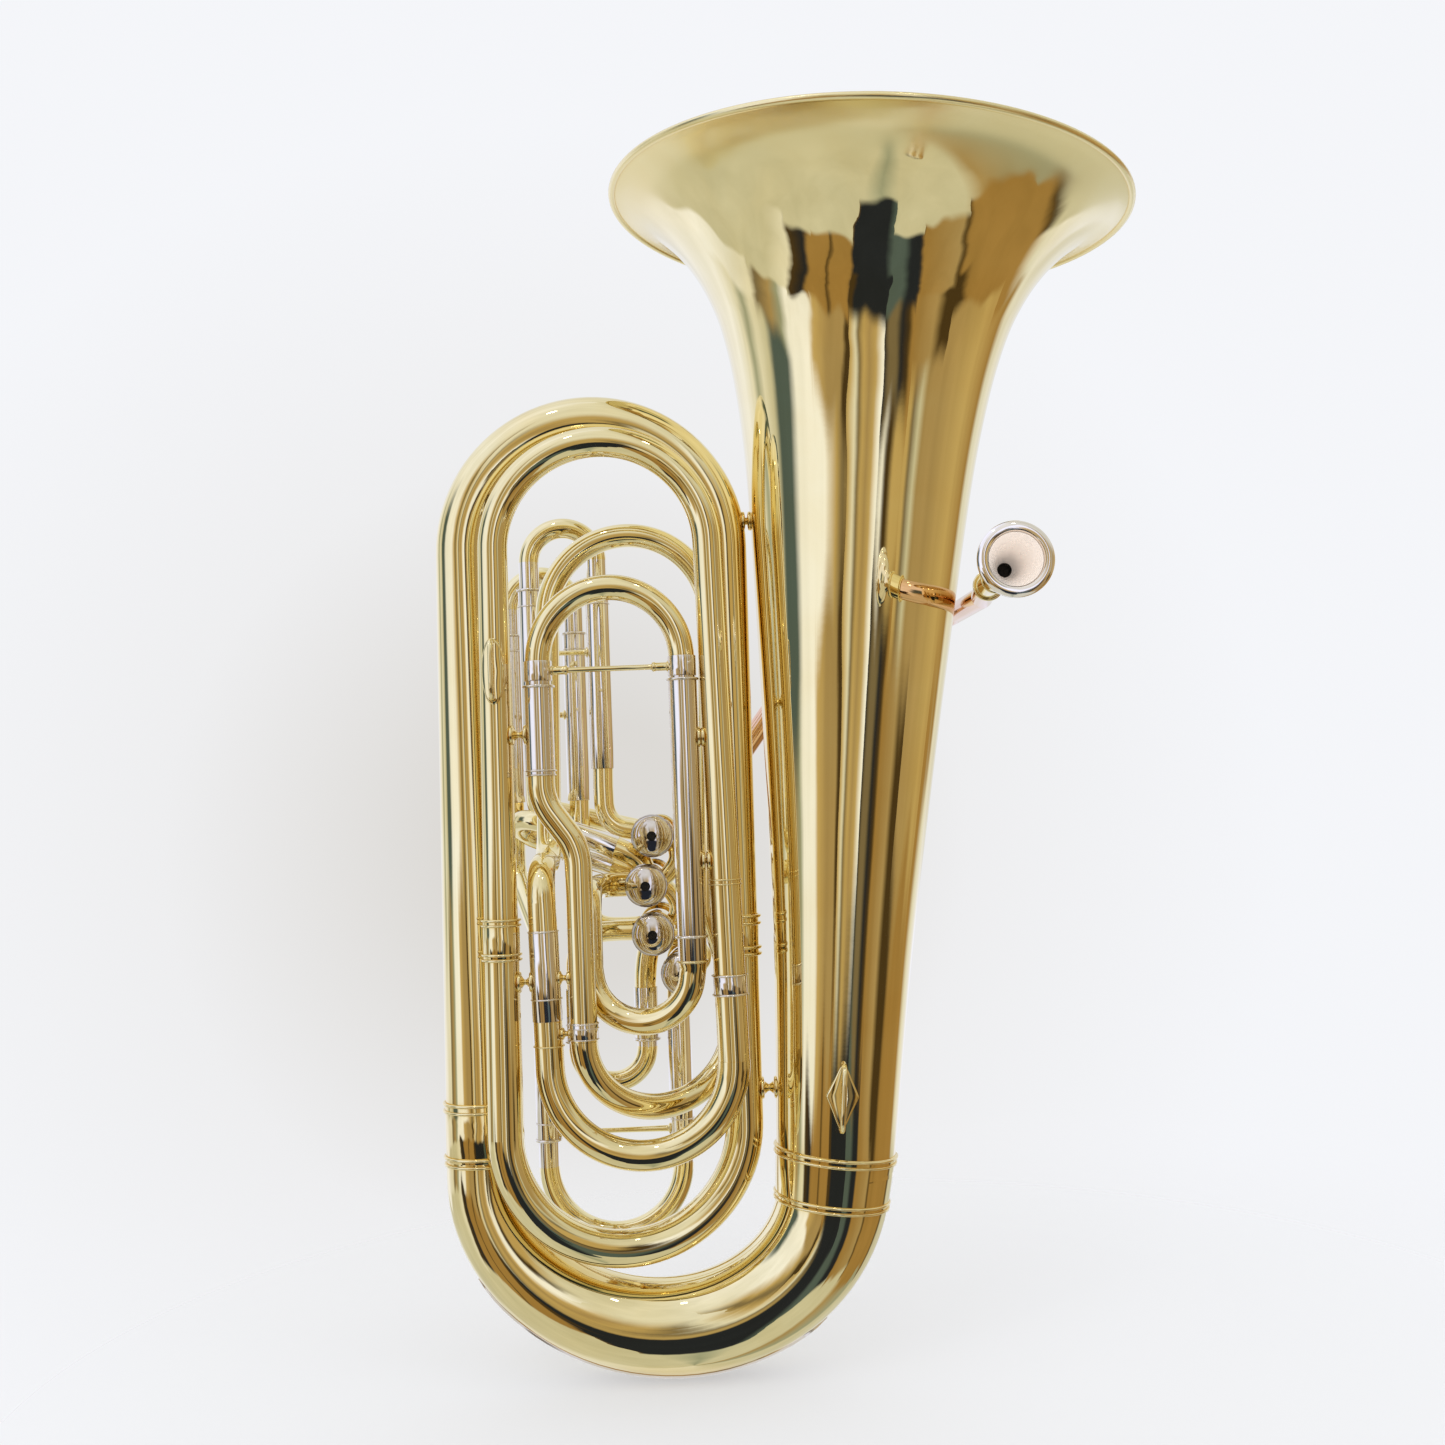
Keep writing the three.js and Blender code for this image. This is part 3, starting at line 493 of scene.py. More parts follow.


# Each metal's second colour is its deeper tone. It is reached at random in the clouds, and as painted
# shade near other surfaces.
BRASS = metal("lacquered_brass", "brass", (0.93, 0.82, 0.48), (0.81, 0.60, 0.21), 0.022, 0.25)
ROSE = metal("rose_brass", "rose_brass", (0.88, 0.60, 0.44), (0.70, 0.40, 0.26), 0.04, 0.25)
NICKEL = metal("nickel_silver", "nickel_silver", (0.91, 0.86, 0.77), (0.70, 0.62, 0.52), 0.05)
# Nickel plate gets painted shade where it turns away (rim below 1).
CHROME = metal("nickel_plate", "chrome", (0.78, 0.72, 0.66), (0.58, 0.52, 0.47), 0.03, rim=0.36)
SILVER = metal("silver_plate", "silver_plate", (0.98, 0.92, 0.84), (0.80, 0.73, 0.66), 0.08)
# The satin cup gets a little painted light (glow) to brighten it.
SATIN = metal(
    "satin_silver", "silver_plate", (1.0, 0.95, 0.90), (0.90, 0.83, 0.77), 0.25, shine=0.45, glow=0.15
)
STEEL = metal("spring_wire", "spring_steel", (0.46, 0.46, 0.47), (0.30, 0.28, 0.26), 0.3)


def painted_shade_material():
    """Painted shade: a near-black surface standing for the unlit inside of a vent or tube, with a little
    dust in its colour.
    """
    material, tree, shader, place = new_material("painted_shade_inside", "chrome")
    dust = noise_node(tree, place, 700, 3)
    color = ramp_node(tree, dust, [(0.3, (0.004, 0.004, 0.004)), (0.8, (0.03, 0.025, 0.02))])
    feed(tree, shader, {"Base Color": color, "Roughness": 0.85})
    return material


PAINTED_SHADE = painted_shade_material()


# ---- Tubes, straight from the frame ----

BRASS_TUBES = {  # by the number of sides that they are drawn with
    64: ["left_outer_branch", "outer_top_bow"],
    56: [
        "right_outer_branch", "second_bottom_bow", "left_front_branch", "inner_top_bow",
        "right_front_branch",
    ],
    48: ["third_bottom_bow", "third_left_branch", "third_top_bow", "fourth_branch"],
    40: [
        "first_right_crook", "first_left_crook", "third_crook", "fourth_return_crook",
        "fourth_crook",
    ],
}  # fmt: skip

for tube_sides, tube_names in BRASS_TUBES.items():
    for tube_name in tube_names:
        sweep(f"{tube_name}_tube", route(tube_name)[0], [BRASS], tube_sides, replaces=[tube_name])

sweep("bottom_bow_tube", route("bottom_bow")[0], [BRASS], 80, replaces=["bottom_bow"])
sweep("leadpipe_tube", route("leadpipe")[0], [ROSE], 48, replaces=["leadpipe"])


def part_nickel(node, name, segments, body=BODY, sides=48):
    """A tube whose named CAD segments are nickel silver and the rest brass."""
    stations, segment = route(node)
    last = max(segment)
    chosen = {s if s >= 0 else last + 1 + s for s in segments}
    paint = [1 if k in chosen else 0 for k in segment]
    return sweep(name, stations, [BRASS, NICKEL], sides, paint, body=body, replaces=[node])


part_nickel("main_slide", "main_slide_tube", [0, -1], "main_tuning_slide")
part_nickel("offset_tube", "offset_tube_tube", [0])
part_nickel("valve_exit_bow", "valve_exit_tube", [0])
VALVE_SLIDES = ["first_slide", "fourth_upper_slide", "third_slide", "fourth_slide", "second_slide"]
for slide_name in VALVE_SLIDES:
    part_nickel(slide_name, f"{slide_name}_tube", [0, -1], slide_name, 40)

# ---- Bell ----


def bell_profile():
    """The bell's stations from the rim down, with enough rings for a smooth flare."""
    given = stations_of("bell")
    places = [0.0]
    for a, b in zip(given, given[1:]):
        places.append(places[-1] + math.hypot((b.p - a.p).length, b.r - a.r) ** 0.5)
    steps, last = 10, len(given) - 1
    out = []
    for i in range(last):
        near = [max(0, min(last, i + d)) for d in (-1, 0, 1, 2)]
        for n in range(steps):
            out.append(spline_station([given[j] for j in near], [places[j] for j in near], n / steps))
    out.append(given[-1])
    return out


def spline_station(four, at, s):
    """A point between the middle two of four stations, on a cubic that suits uneven spacing."""
    span = at[2] - at[1]

    def value(get):
        v = [get(x) for x in four]
        left = (v[2] - v[0]) / (at[2] - at[0]) if at[0] != at[1] else (v[2] - v[1]) / span
        right = (v[3] - v[1]) / (at[3] - at[1]) if at[3] != at[2] else (v[2] - v[1]) / span
        return cubic(v[1], left * span, v[2], right * span, s)

    way = four[1].t
    return Station(value(lambda x: x.p), way, value(lambda x: x.r), value(lambda x: x.inner))


RUB_WIDTH = (26, 6)  # where the rubbed lip starts and is fully dull, back from the rim
RUB_DULLING = 0.22


def dull_lip(material, rim):
    """Makes the metal duller towards the rim, where hands and covers rub it."""
    tree = material.node_tree
    shader = tree.nodes["Principled BSDF"]
    rough = shader.inputs["Roughness"].links[0].from_socket
    place = add_node(tree, "TexCoord", {}).outputs["Object"]
    along = add_node(tree, "VectorMath", {0: place, 1: -rim.t}, operation="DOT_PRODUCT")
    height = -rim.t.dot(rim.p)
    start, full = (height - back * MM for back in RUB_WIDTH)
    share = fade_in(tree, along.outputs["Value"], start, full)
    feed(tree, shader, {"Roughness": multiply_add(tree, share, RUB_DULLING, rough)})


RIM_WIRE = 2.6
RIM_INSET = 1.9  # the wire's centre line, in from the edge of the flare


def bell():
    """The flare, and the wire that its edge is rolled round."""
    stations = bell_profile()
    rim = stations[0]
    dull_lip(BRASS, rim)
    sweep("bell_flare", stations, [BRASS], 128, replaces=["bell"])
    turns = (2 * math.pi * k / 16 for k in range(16))
    wire, centre = RIM_WIRE * MM, rim.r - RIM_INSET * MM
    profile = [(wire * math.sin(a), centre + wire * math.cos(a)) for a in turns]
    lathe("bell_rim_wire", rim.p, rim.t, profile, [BRASS], 128, closed=True)


bell()


# ---- Ferrules, sleeves and beads ----


def bead(name, origin, axis, along, r, wire, metal_of=BRASS, sides=48):
    """A ring of wire on a tube of radius r, so far along an axis."""
    lathe(name, origin, axis, bead_profile(along, r, wire * MM), [metal_of], sides, closed=True)


def sleeve(name, node, low, high, beads, wire=0.9, lift=0.6, metal_of=BRASS, leg=0):
    """A thin sleeve soldered over a tube between two heights, with wire beads at given heights."""
    a, b = tube_at(node, low * MM, leg), tube_at(node, high * MM, leg)
    axis = (b.p - a.p).normalized()
    length = (b.p - a.p).length
    out = lift * MM

    def radius(along):
        return a.r + (b.r - a.r) * along / length

    under = 0.2 * MM
    outline = [(0, radius(0) - under), (0, radius(0) + out)]
    outline += [(length, radius(length) + out), (length, radius(length) - under)]
    lathe(name, a.p, axis, rounded(outline, 0.4 * MM, 2), [metal_of], closed=True)
    for i, height in enumerate(beads):
        s = tube_at(node, height * MM, leg)
        along = (s.p - a.p).dot(axis)
        bead(f"{name}_bead_{i + 1}", a.p, axis, along, radius(along) + out, wire, metal_of)


def bands(name, node, heights, lift=0.0, wire=0.9, metal_of=BRASS):
    """Wire beads round a tube at the given heights."""
    for i, height in enumerate(heights):
        s = tube_at(node, height * MM)
        bead(f"{name}_{i + 1}", s.p, s.t, 0, s.r + lift * MM, wire, metal_of)


sleeve("left_outer_ferrule", "left_outer_branch", 155.4, 195.5, (190, 195, 158), wire=1.1)
bands("bottom_bow_band", "bottom_bow", (153,), wire=1.1)
sleeve("left_front_ferrule", "left_front_branch", 296.5, 325, (324, 320.5, 300.5, 297), lift=0.9)
sleeve("right_outer_ferrule", "right_outer_branch", 291, 320, (318, 313, 296, 291.5), 1.3, 0.7)
bands("right_front_band", "right_front_branch", (346, 343), wire=0.6)
sleeve("right_front_ferrule", "right_front_branch", 267, 281, (280.6, 267.4), 0.7, 0.6, NICKEL)
sleeve("third_left_sleeve", "third_left_branch", 254, 316, (315, 269), 0.5, 0.5, NICKEL)
bands("third_bow_band", "third_left_branch", (237,), lift=0.3, wire=0.5)
sleeve("offset_ferrule", "offset_tube", 240.5, 252.5, (251.5, 248.5, 241), 0.4, 0.6, NICKEL, -1)
bands("offset_sleeve_top", "offset_tube", (483.8,), wire=1.0, metal_of=NICKEL)
bands("offset_sleeve_foot", "offset_tube", (425.5, 422.6), lift=0.1, wire=0.7, metal_of=NICKEL)
bands("exit_sleeve_top", "valve_exit_bow", (485.2,), wire=1.0, metal_of=NICKEL)
bands("exit_sleeve_foot", "valve_exit_bow", (308,), lift=0.4, wire=0.9, metal_of=NICKEL)
bands("exit_sleeve_end", "valve_exit_bow", (291,), lift=0.2, wire=0.8)


def bell_ferrule():
    """The tapered sleeve over the join of the bell and the bottom bow, with two beads at each end."""
    top = route("bell_ferrule")[0][0]
    _, length = span_along("bell_ferrule", top.t)
    foot = tube_at("bottom_bow", (top.p + top.t * length).z, -1)
    axis = (foot.p - top.p).normalized()
    top_r, foot_r, inner = top.r - 0.5 * MM, foot.r + 0.7 * MM, foot.r - 1 * MM
    stations = []
    for share, lower in ((0, 0.5), (0.01, 0), (0.99, 0), (1, 0.5)):
        r = top_r + (foot_r - top_r) * share - lower * MM
        stations.append(Station(top.p.lerp(foot.p, share), axis, r, inner))
    sweep("bell_ferrule_sleeve", stations, [BRASS], 96, replaces=["bell_ferrule"])
    for i, share in enumerate((0.03, 0.14, 0.87, 0.97)):
        r = top_r + (foot_r - top_r) * share
        bead(f"bell_ferrule_bead_{i + 1}", top.p.lerp(foot.p, share), axis, 0, r, 0.95, sides=96)


bell_ferrule()

# ---- Bow guard ----


def bow_guard(half=math.radians(25), lifts=(1.3, -0.2), columns=24):
    """The strip bent round the outside of the bottom bow, half radians to each side of its outermost
    line, with round ends. lifts are the heights of its two faces over the tube."""
    given, segment = route("bottom_bow")
    last = max(segment)
    stations = [s for s, k in zip(given, segment) if 2 <= k <= last - 2]
    verts, faces = [], []
    width = columns + 1
    for i, s in enumerate(stations):
        ease = min(1.0, math.sqrt(min(i, len(stations) - 1 - i) / 5 + 0.02))
        outward = Vector((s.t.z, 0, -s.t.x)).normalized()
        if outward.z > 0:
            outward.negate()
        side = s.t.cross(outward).normalized()
        for lift in lifts:
            for c in range(width):
                a = half * ease * (2 * c / columns - 1)
                r = s.r + lift * MM
                verts.append(s.p + outward * (r * math.cos(a)) + side * (r * math.sin(a)))
    row = 2 * width
    for i in range(len(stations) - 1):
        a, b = i * row, (i + 1) * row
        for c in range(columns):
            faces.append((a + c, a + c + 1, b + c + 1, b + c))
            faces.append((a + width + c, a + width + c + 1, b + width + c + 1, b + width + c))
        faces.append((a, b, b + width, a + width))
        faces.append((a + columns, b + columns, b + width + columns, a + width + columns))
    for a in (0, (len(stations) - 1) * row):
        faces += [(a + c, a + c + 1, a + width + c + 1, a + width + c) for c in range(columns)]
    make_piece("bow_guard_strip", verts, faces, [NICKEL], replaces=["bow_guard"])


bow_guard()

# ---- Sleeves of the valve slides ----


SLIDE_SLEEVE = 9.3  # radius of a valve slide's sleeve


def slide_sleeves(node, axis):
    """The two sleeves of a valve slide, with beads at their open ends. Returns the sleeves' feet."""
    sleeves = f"{node}_sleeves"
    points = merged_mesh(sleeves)[0]
    stations = route(node)[0]
    starts = [stations[0], stations[-1]]
    along = points @ np.array(axis)
    low, high = float(along.min()), float(along.max())
    length = high - low
    outer, inner = SLIDE_SLEEVE * MM, 8.5 * MM
    feet = []
    for i, s in enumerate(starts):
        origin = s.p + axis * (low - s.p.dot(axis))
        feet.append(origin)
        outline = rounded(wall(length, inner, outer), 0.3 * MM, 2)
        replaces = [sleeves] if i == 0 else ()
        name = f"{sleeves}_{i + 1}"
        lathe(name, origin, axis, outline, [NICKEL], 40, True, replaces=replaces)
        for j, (back, wire) in enumerate(((1.2, 0.9), (14, 0.5))):
            bead(f"{name}_bead_{j + 1}", origin, axis, length - back * MM, outer, wire, NICKEL, 40)
    return feet


FOOT_SINK = 1.3  # how far a strut's dished foot reaches down round its tube


def strut(name, a, b, ra, rb, rod, foot):
    """A turned strut between two tubes, with a dished foot soldered on each."""
    axis = (b - a).normalized()
    sink = FOOT_SINK * MM
    start = a + axis * (ra - sink)
    length = (b - a).length - ra - rb + 2 * sink
    half = length / 2
    foot, rod, plate = foot * MM, rod * MM, sink + 0.9 * MM
    end = [(0, 0), (0, foot), (plate, foot * 0.97), (plate + 0.5 * MM, foot * 0.6)]
    neck = min(plate + 2.6 * MM, half * 0.8)
    end += [(neck, rod * 1.25), (half, rod)]
    lathe(name, start, axis, rounded(mirrored(end, length), 0.8 * MM), [BRASS], 32)


LINKED_VALVES = {"second_slide": 2, "third_slide": 3, "fourth_slide": 4}


def link_to_casing(node, axis, feet):
    """The brass tubes that run on from a slide's sleeves into its valve's casing."""
    number = LINKED_VALVES[node]
    centre = middle(f"bottom_cap_{number}")
    if number != 2:
        feet = [max(feet, key=lambda foot: foot.x)]
    for i, foot in enumerate(feet):
        valve_centre = Vector((centre.x, foot.y, centre.z))
        corner = foot - axis * 20 * MM
        end = valve_centre + (corner - valve_centre).normalized() * 13 * MM
        points = [foot + axis * 2 * MM, corner, end]
        bent_tube(f"{node}_link_{i + 1}", points, 8.4 * MM, 7.6 * MM, BRASS)


STRUT_HEIGHTS = {"first_slide": 522, "fourth_upper_slide": 475, "third_slide": 240, "fourth_slide": 151}
for slide_name in VALVE_SLIDES:
    slide_axis = JOINT_AXIS[f"{slide_name}_pull"]
    bases = slide_sleeves(slide_name, slide_axis)
    if slide_name in STRUT_HEIGHTS:
        level = STRUT_HEIGHTS[slide_name] * MM
        ends = [Vector((foot.x, foot.y, level)) for foot in bases]
    else:
        ends = [foot + slide_axis * 36 * MM for foot in bases]
    strut(f"{slide_name}_strut", *ends, SLIDE_SLEEVE * MM, SLIDE_SLEEVE * MM, rod=1.9, foot=4.2)
    if slide_name in LINKED_VALVES:
        link_to_casing(slide_name, slide_axis, bases)


# ---- Main tuning slide's brace ----


def slide_brace():
    """The cross rod, with a stepped foot on each leg of the slide."""
    origin, length = span_along("main_slide_brace", RIGHT)
    wide, thin, foot = 2.9 * MM, 1.9 * MM, 12 * MM
    half = [(-0.6 * MM, 0), (-0.6 * MM, wide * 1.25), (1 * MM, wide * 1.25), (1.6 * MM, wide)]
    half += [(foot - 3 * MM, wide), (foot - 2.6 * MM, wide * 1.15), (foot - 1 * MM, wide * 1.15)]
    half += [(foot, thin), (length / 2, thin)]
    profile = rounded(mirrored(half, length), 0.3 * MM, 2)
    shape = ("main_slide_brace_rod", origin, RIGHT, profile, [BRASS], 32)
    lathe(*shape, body="main_tuning_slide", replaces=["main_slide_brace"])


slide_brace()


def slide_collars():
    """Nickel silver collars on the main slide, between its bow and the sleeves."""
    for i, leg in enumerate((0, -1)):
        a, b = tube_at("main_slide", 487.5 * MM, leg), tube_at("main_slide", 501.5 * MM, leg)
        length = (b.p - a.p).length
        outline = rounded(wall(length, a.r, a.r + 0.9 * MM), 0.3 * MM, 2)
        name = f"main_slide_collar_{i + 1}"
        lathe(name, a.p, UP, outline, [NICKEL], closed=True, body="main_tuning_slide")


slide_collars()

# ---- Braces between the branches ----


def brace_between(name, first, second, height, leg=0, **sizes):
    """A strut between two tubes at one height. leg picks the second tube's crossing of it."""
    a, b = tube_at(first, height * MM), tube_at(second, height * MM, leg)
    strut(name, a.p, b.p, a.r, b.r, **sizes)


brace_between("brace_branch_to_slide", "left_front_branch", "offset_tube", 451, foot=7.2, rod=1.8)
brace_between("brace_slide_to_branch", "valve_exit_bow", "right_front_branch", 445, foot=7.2, rod=1.8)
brace_between("brace_sleeve_to_branch", "valve_exit_bow", "right_front_branch", 359.5, foot=7.2, rod=1.8)
brace_between("brace_left_branches", "left_front_branch", "third_left_branch", 281, foot=7.4, rod=1.7)
brace_between("brace_offset_upper", "third_left_branch", "offset_tube", 283, -1, foot=5, rod=1.7)
brace_between("brace_offset_lower", "third_left_branch", "offset_tube", 245, -1, foot=4.2, rod=1.7)
brace_between("brace_bell_lower", "right_outer_branch", "bell", 196.5, foot=8, rod=2.4)
brace_between("brace_bell_upper", "outer_top_bow", "bell", 601, foot=7, rod=2.4)
brace_between("brace_right_bows", "right_outer_branch", "right_front_branch", 468, foot=6, rod=2.2)

# ---- Valves ----

CASING_RADIUS = 14.3
CASING_BEADS = (1.5, 24.0, 108.0, 130.5)


def valve(number):
    """One valve: its casing, its two caps, its button, and its piston with the stem."""
    centre = middle(f"bottom_cap_{number}")
    low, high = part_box("valve_block")
    origin = Vector((centre.x, low.y, centre.z))
    r = CASING_RADIUS * MM
    outline = rounded(wall(high.y - low.y, r - MM, r), 0.3 * MM, 2)
    replaces = ["valve_block"] if number == 1 else ()
    lathe(f"casing_{number}", origin, BACK, outline, [BRASS], closed=True, replaces=replaces)
    for i, along in enumerate(CASING_BEADS):
        bead(f"casing_{number}_bead_{i + 1}", origin, BACK, along * MM, r, 0.8)
    bottom_cap(f"bottom_cap_{number}")
    top_cap(f"top_cap_{number}")
    button(f"finger_button_{number}", f"valve_{number}")
    piston(f"piston_{number}", f"valve_{number}")


def bottom_cap(node):
    """A dome with a plain band, a rolled edge, and a vent plugged with painted shade."""
    origin, length = span_along(node, BACK)
    r = radius_of(node)
    vent = 3.6 * MM
    dome = length - 9 * MM
    first = math.asin(vent / r)
    turns = (first + (math.pi / 2 - first) * k / 12 for k in range(13))
    outside = [(dome * 1.04 * (1 - math.cos(a)), r * math.sin(a)) for a in turns]
    lip = outside[0][0]
    shell = outside + [
        (dome + 2 * MM, r),
        (length - 2.2 * MM, r),
        (length - 2.0 * MM, r + 0.5 * MM),
        (length - 0.6 * MM, r + 0.5 * MM),
        (length, r - 0.2 * MM),
        (length, r - 2 * MM),
        (dome + 1 * MM, r - 2 * MM),
        (lip + 1.6 * MM, vent),
    ]
    lathe(f"{node}_dome", origin, BACK, shell, [CHROME], 64, closed=True, replaces=[node])
    # Painted shade: a dark plug fills the vent, standing for its unlit inside.
    floor = [(lip + 1.2 * MM, 0), (lip + 1.2 * MM, vent), (dome, vent), (dome, 0)]
    lathe(f"{node}_vent", origin, BACK, floor, [PAINTED_SHADE], 32)


def top_cap(node):
    """A cap with two edges and a raised collar that the stem comes out through."""
    origin, length = span_along(node, BACK)
    r = radius_of(node)
    bore = 3.5 * MM
    profile = [(0, bore), (0, r - 0.6 * MM), (0.6 * MM, r), (2.2 * MM, r), (2.8 * MM, r - 0.6 * MM)]
    profile += [(6.2 * MM, r - 0.6 * MM), (6.8 * MM, r), (8 * MM, r - 0.3 * MM), (9.4 * MM, r * 0.62)]
    profile += [(length - 0.8 * MM, r * 0.54), (length, r * 0.5), (length, bore)]
    lathe(f"{node}_turned", origin, BACK, profile, [CHROME], 64, closed=True, replaces=[node])


def button(node, body):
    """A finger button with a rounded edge and a dished face."""
    origin, length = span_along(node, BACK)
    r = radius_of(node)
    profile = [(0, 0), (0, r * 0.5), (1.2 * MM, r * 0.62), (2.2 * MM, r * 0.98), (3.2 * MM, r)]
    profile += [(length - 1.6 * MM, r), (length - 0.4 * MM, r * 0.9), (length - 0.9 * MM, r * 0.72)]
    profile += [(length - 1.5 * MM, r * 0.3), (length - 1.6 * MM, 0)]
    profile = rounded(profile, 0.5 * MM)
    lathe(f"{node}_turned", origin, BACK, profile, [CHROME], body=body, replaces=[node])


def piston(node, body):
    """A barrel that is hollow at its spring end, with the stem that reaches up into the button."""
    start, reach = span_along(node, BACK)
    stem, barrel, recess = 3.0 * MM, 12.5 * MM, 20 * MM
    shoulder = 68 * MM
    inside = barrel - 2 * MM
    profile = [(recess, 0), (recess, inside), (0, inside), (0, barrel), (shoulder - MM, barrel)]
    profile += [(shoulder, barrel - MM), (shoulder, stem), (reach + 0.6 * MM, stem)]
    profile += [(reach + 0.6 * MM, 0)]
    lathe(f"{node}_turned", start, BACK, profile, [NICKEL], body=body, replaces=[node])


VALVE_NUMBERS = (1, 2, 3, 4)
for valve_number in VALVE_NUMBERS:
    valve(valve_number)


def knuckles():
    """The short curved tubes that join the casings' right sides."""
    casings = [middle(f"bottom_cap_{n}") for n in VALVE_NUMBERS]
    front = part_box("valve_block")[0].y
    for i, (a, b) in enumerate(zip(casings, casings[1:])):
        depth = front + (24 + 26 * (i % 2)) * MM
        start = Vector((a.x + 12.8 * MM, depth, a.z - 4 * MM))
        end = Vector((b.x + 12.8 * MM, depth, b.z + 4 * MM))
        corner = Vector((max(a.x, b.x) + 24 * MM, depth, (a.z + b.z) / 2))
        bent_tube(f"knuckle_{i + 1}", [start, corner, end], 6.5 * MM, 5.7 * MM, BRASS)


knuckles()


SOLID = 0.02  # share of a solid wire's radius that is left open, so that it sweeps as a tube does


def spring(node, turns=9, per_turn=16):
    """A coil spring under a piston, on a mesh of its own, drawn at one length; the real one shortens as
    its button is pressed.
    """
    low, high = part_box(node)
    centre, length = (low + high) / 2, high.y - low.y
    wire = 0.75 * MM
    coil = radius_of(node) - 0.8 * MM
    stations = []
    steps = turns * per_turn
    for k in range(steps + 1):
        a = 2 * math.pi * k / per_turn
        y = low.y + wire + (length - 2 * wire) * k / steps
        p = Vector((centre.x + coil * math.cos(a), y, centre.z + coil * math.sin(a)))
        rise = length / steps * per_turn / (2 * math.pi)
        t = Vector((-coil * math.sin(a), rise, coil * math.cos(a))).normalized()
        stations.append(Station(p, t, wire, wire * SOLID))
    obj = sweep(f"{node}_coil", stations, [STEEL], 8, replaces=[node])
    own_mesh(obj)


for valve_number in VALVE_NUMBERS:
    spring(f"valve_spring_{valve_number}")

# ---- Mouthpiece and receiver ----


def mouthpiece(axis):
    """The turned cup and shank, the satin lining of the cup with a little painted light, and a dark plug
    of painted shade for the throat under it.
    """
    origin, _ = span_along("mouthpiece", axis)
    outside = [(0.7, 17.0), (0.0, 19.0), (0.5, 21.3), (2.2, 22.8), (4.8, 22.8), (7, 21.4), (10, 19.8)]
    outside += [(13, 19.1), (16, 18.9), (22, 18.0), (27, 16.2), (31, 14.2), (34.5, 11.6), (38, 9.0)]
    outside += [(41, 7.6), (44, 7.5), (46, 6.9), (50, 6.3), (60, 6.2), (76, 6.4), (91, 6.6)]
    inside = [(91.7, 6.2), (91.7, 5.4), (70, 4.9), (50, 4.7), (44, 4.8), (38, 6.0), (32, 7.6)]
    inside += [(24, 10.1), (16, 12.9), (10, 15.0), (5, 16.1), (2.4, 16.4)]
    profile = [(x * MM, r * MM) for x, r in outside + inside]
    shape = ("mouthpiece_turned", origin, axis, profile, [SILVER], 96)
    lathe(*shape, closed=True, body="mouthpiece", replaces=["mouthpiece"])
    cup = [(2.5, 16.2), (5, 15.6), (10, 14.0), (16, 11.9), (24, 9.1), (32, 6.7), (38, 5.2), (42, 4.5)]
    cup = [(x * MM, r * MM) for x, r in cup]
    lathe("mouthpiece_cup", origin, axis, cup, [SATIN], 96, body="mouthpiece")
    # Painted shade: a dark plug stands for the unlit throat.
    throat = [(42 * MM, 4.5 * MM), (43 * MM, 4.2 * MM), (48 * MM, 4.2 * MM), (48 * MM, 0)]
    lathe("mouthpiece_throat", origin, axis, throat, [PAINTED_SHADE], 48, body="mouthpiece")


def receiver(axis):
    """The socket that the mouthpiece's shank sits in, with a collar at its mouth."""
    start, reach = span_along("mouthpiece_receiver", axis)
    collar = 9.6 * MM
    tube_r, bore = 8.6 * MM, 7.2 * MM
    profile = [(0, bore), (0, collar - 0.4 * MM), (0.5 * MM, collar), (5.4 * MM, collar)]
    profile += [(6.2 * MM, collar - 0.8 * MM), (7.4 * MM, tube_r), (reach, tube_r), (reach, bore)]
    shape = ("receiver_turned", start, axis, profile, [BRASS], 48)
    lathe(*shape, closed=True, replaces=["mouthpiece_receiver"])
    for i, along in enumerate((9.5, 40.5)):
        bead(f"receiver_bead_{i + 1}", start, axis, along * MM, tube_r, 0.9)


mouthpiece(-JOINT_AXIS["mouthpiece_pull"])
receiver(-JOINT_AXIS["mouthpiece_pull"])

# ---- Strap rings on their plates ----


def plate_on(name, node, centre_z, height, width, shape):
    """A thin plate bent to the front of a tube. shape gives its outline's (across, along) for a turn."""
    base = tube_at(node, centre_z * MM)
    axis = base.t if base.t.z > 0 else -base.t
    front = (FRONT - axis * FRONT.dot(axis)).normalized()
    side = axis.cross(front)
    rings = [(0.0, 1.0), (0.5, 1.0), (0.86, 1.0), (0.95, 0.8), (1.0, 0.2), (1.0, -0.6), (0.0, -0.6)]
    count = 48
    verts, faces = [], []
    for share, lift in rings:
        for k in range(count):
            across, along = shape(2 * math.pi * k / count)
            a = across * width / 2 * share * MM / base.r
            place = base.p + axis * (along * height / 2 * share * MM)
            r = base.r + lift * MM
            verts.append(place + front * (r * math.cos(a)) + side * (r * math.sin(a)))
    for i in range(len(rings) - 1):
        faces += strip(i * count, (i + 1) * count, count)
    make_piece(name, verts, faces, [BRASS], crease=60)
    return base, axis, front


def diamond(a):
    """A diamond with blunt ends."""
    c, s = math.cos(a), math.sin(a)
    reach = 1 / (abs(c) + abs(s))
    blunt = 0.16 * abs(s) ** 8
    return c * (reach + blunt), s * reach


def oval(a):
    return math.cos(a), math.sin(a)


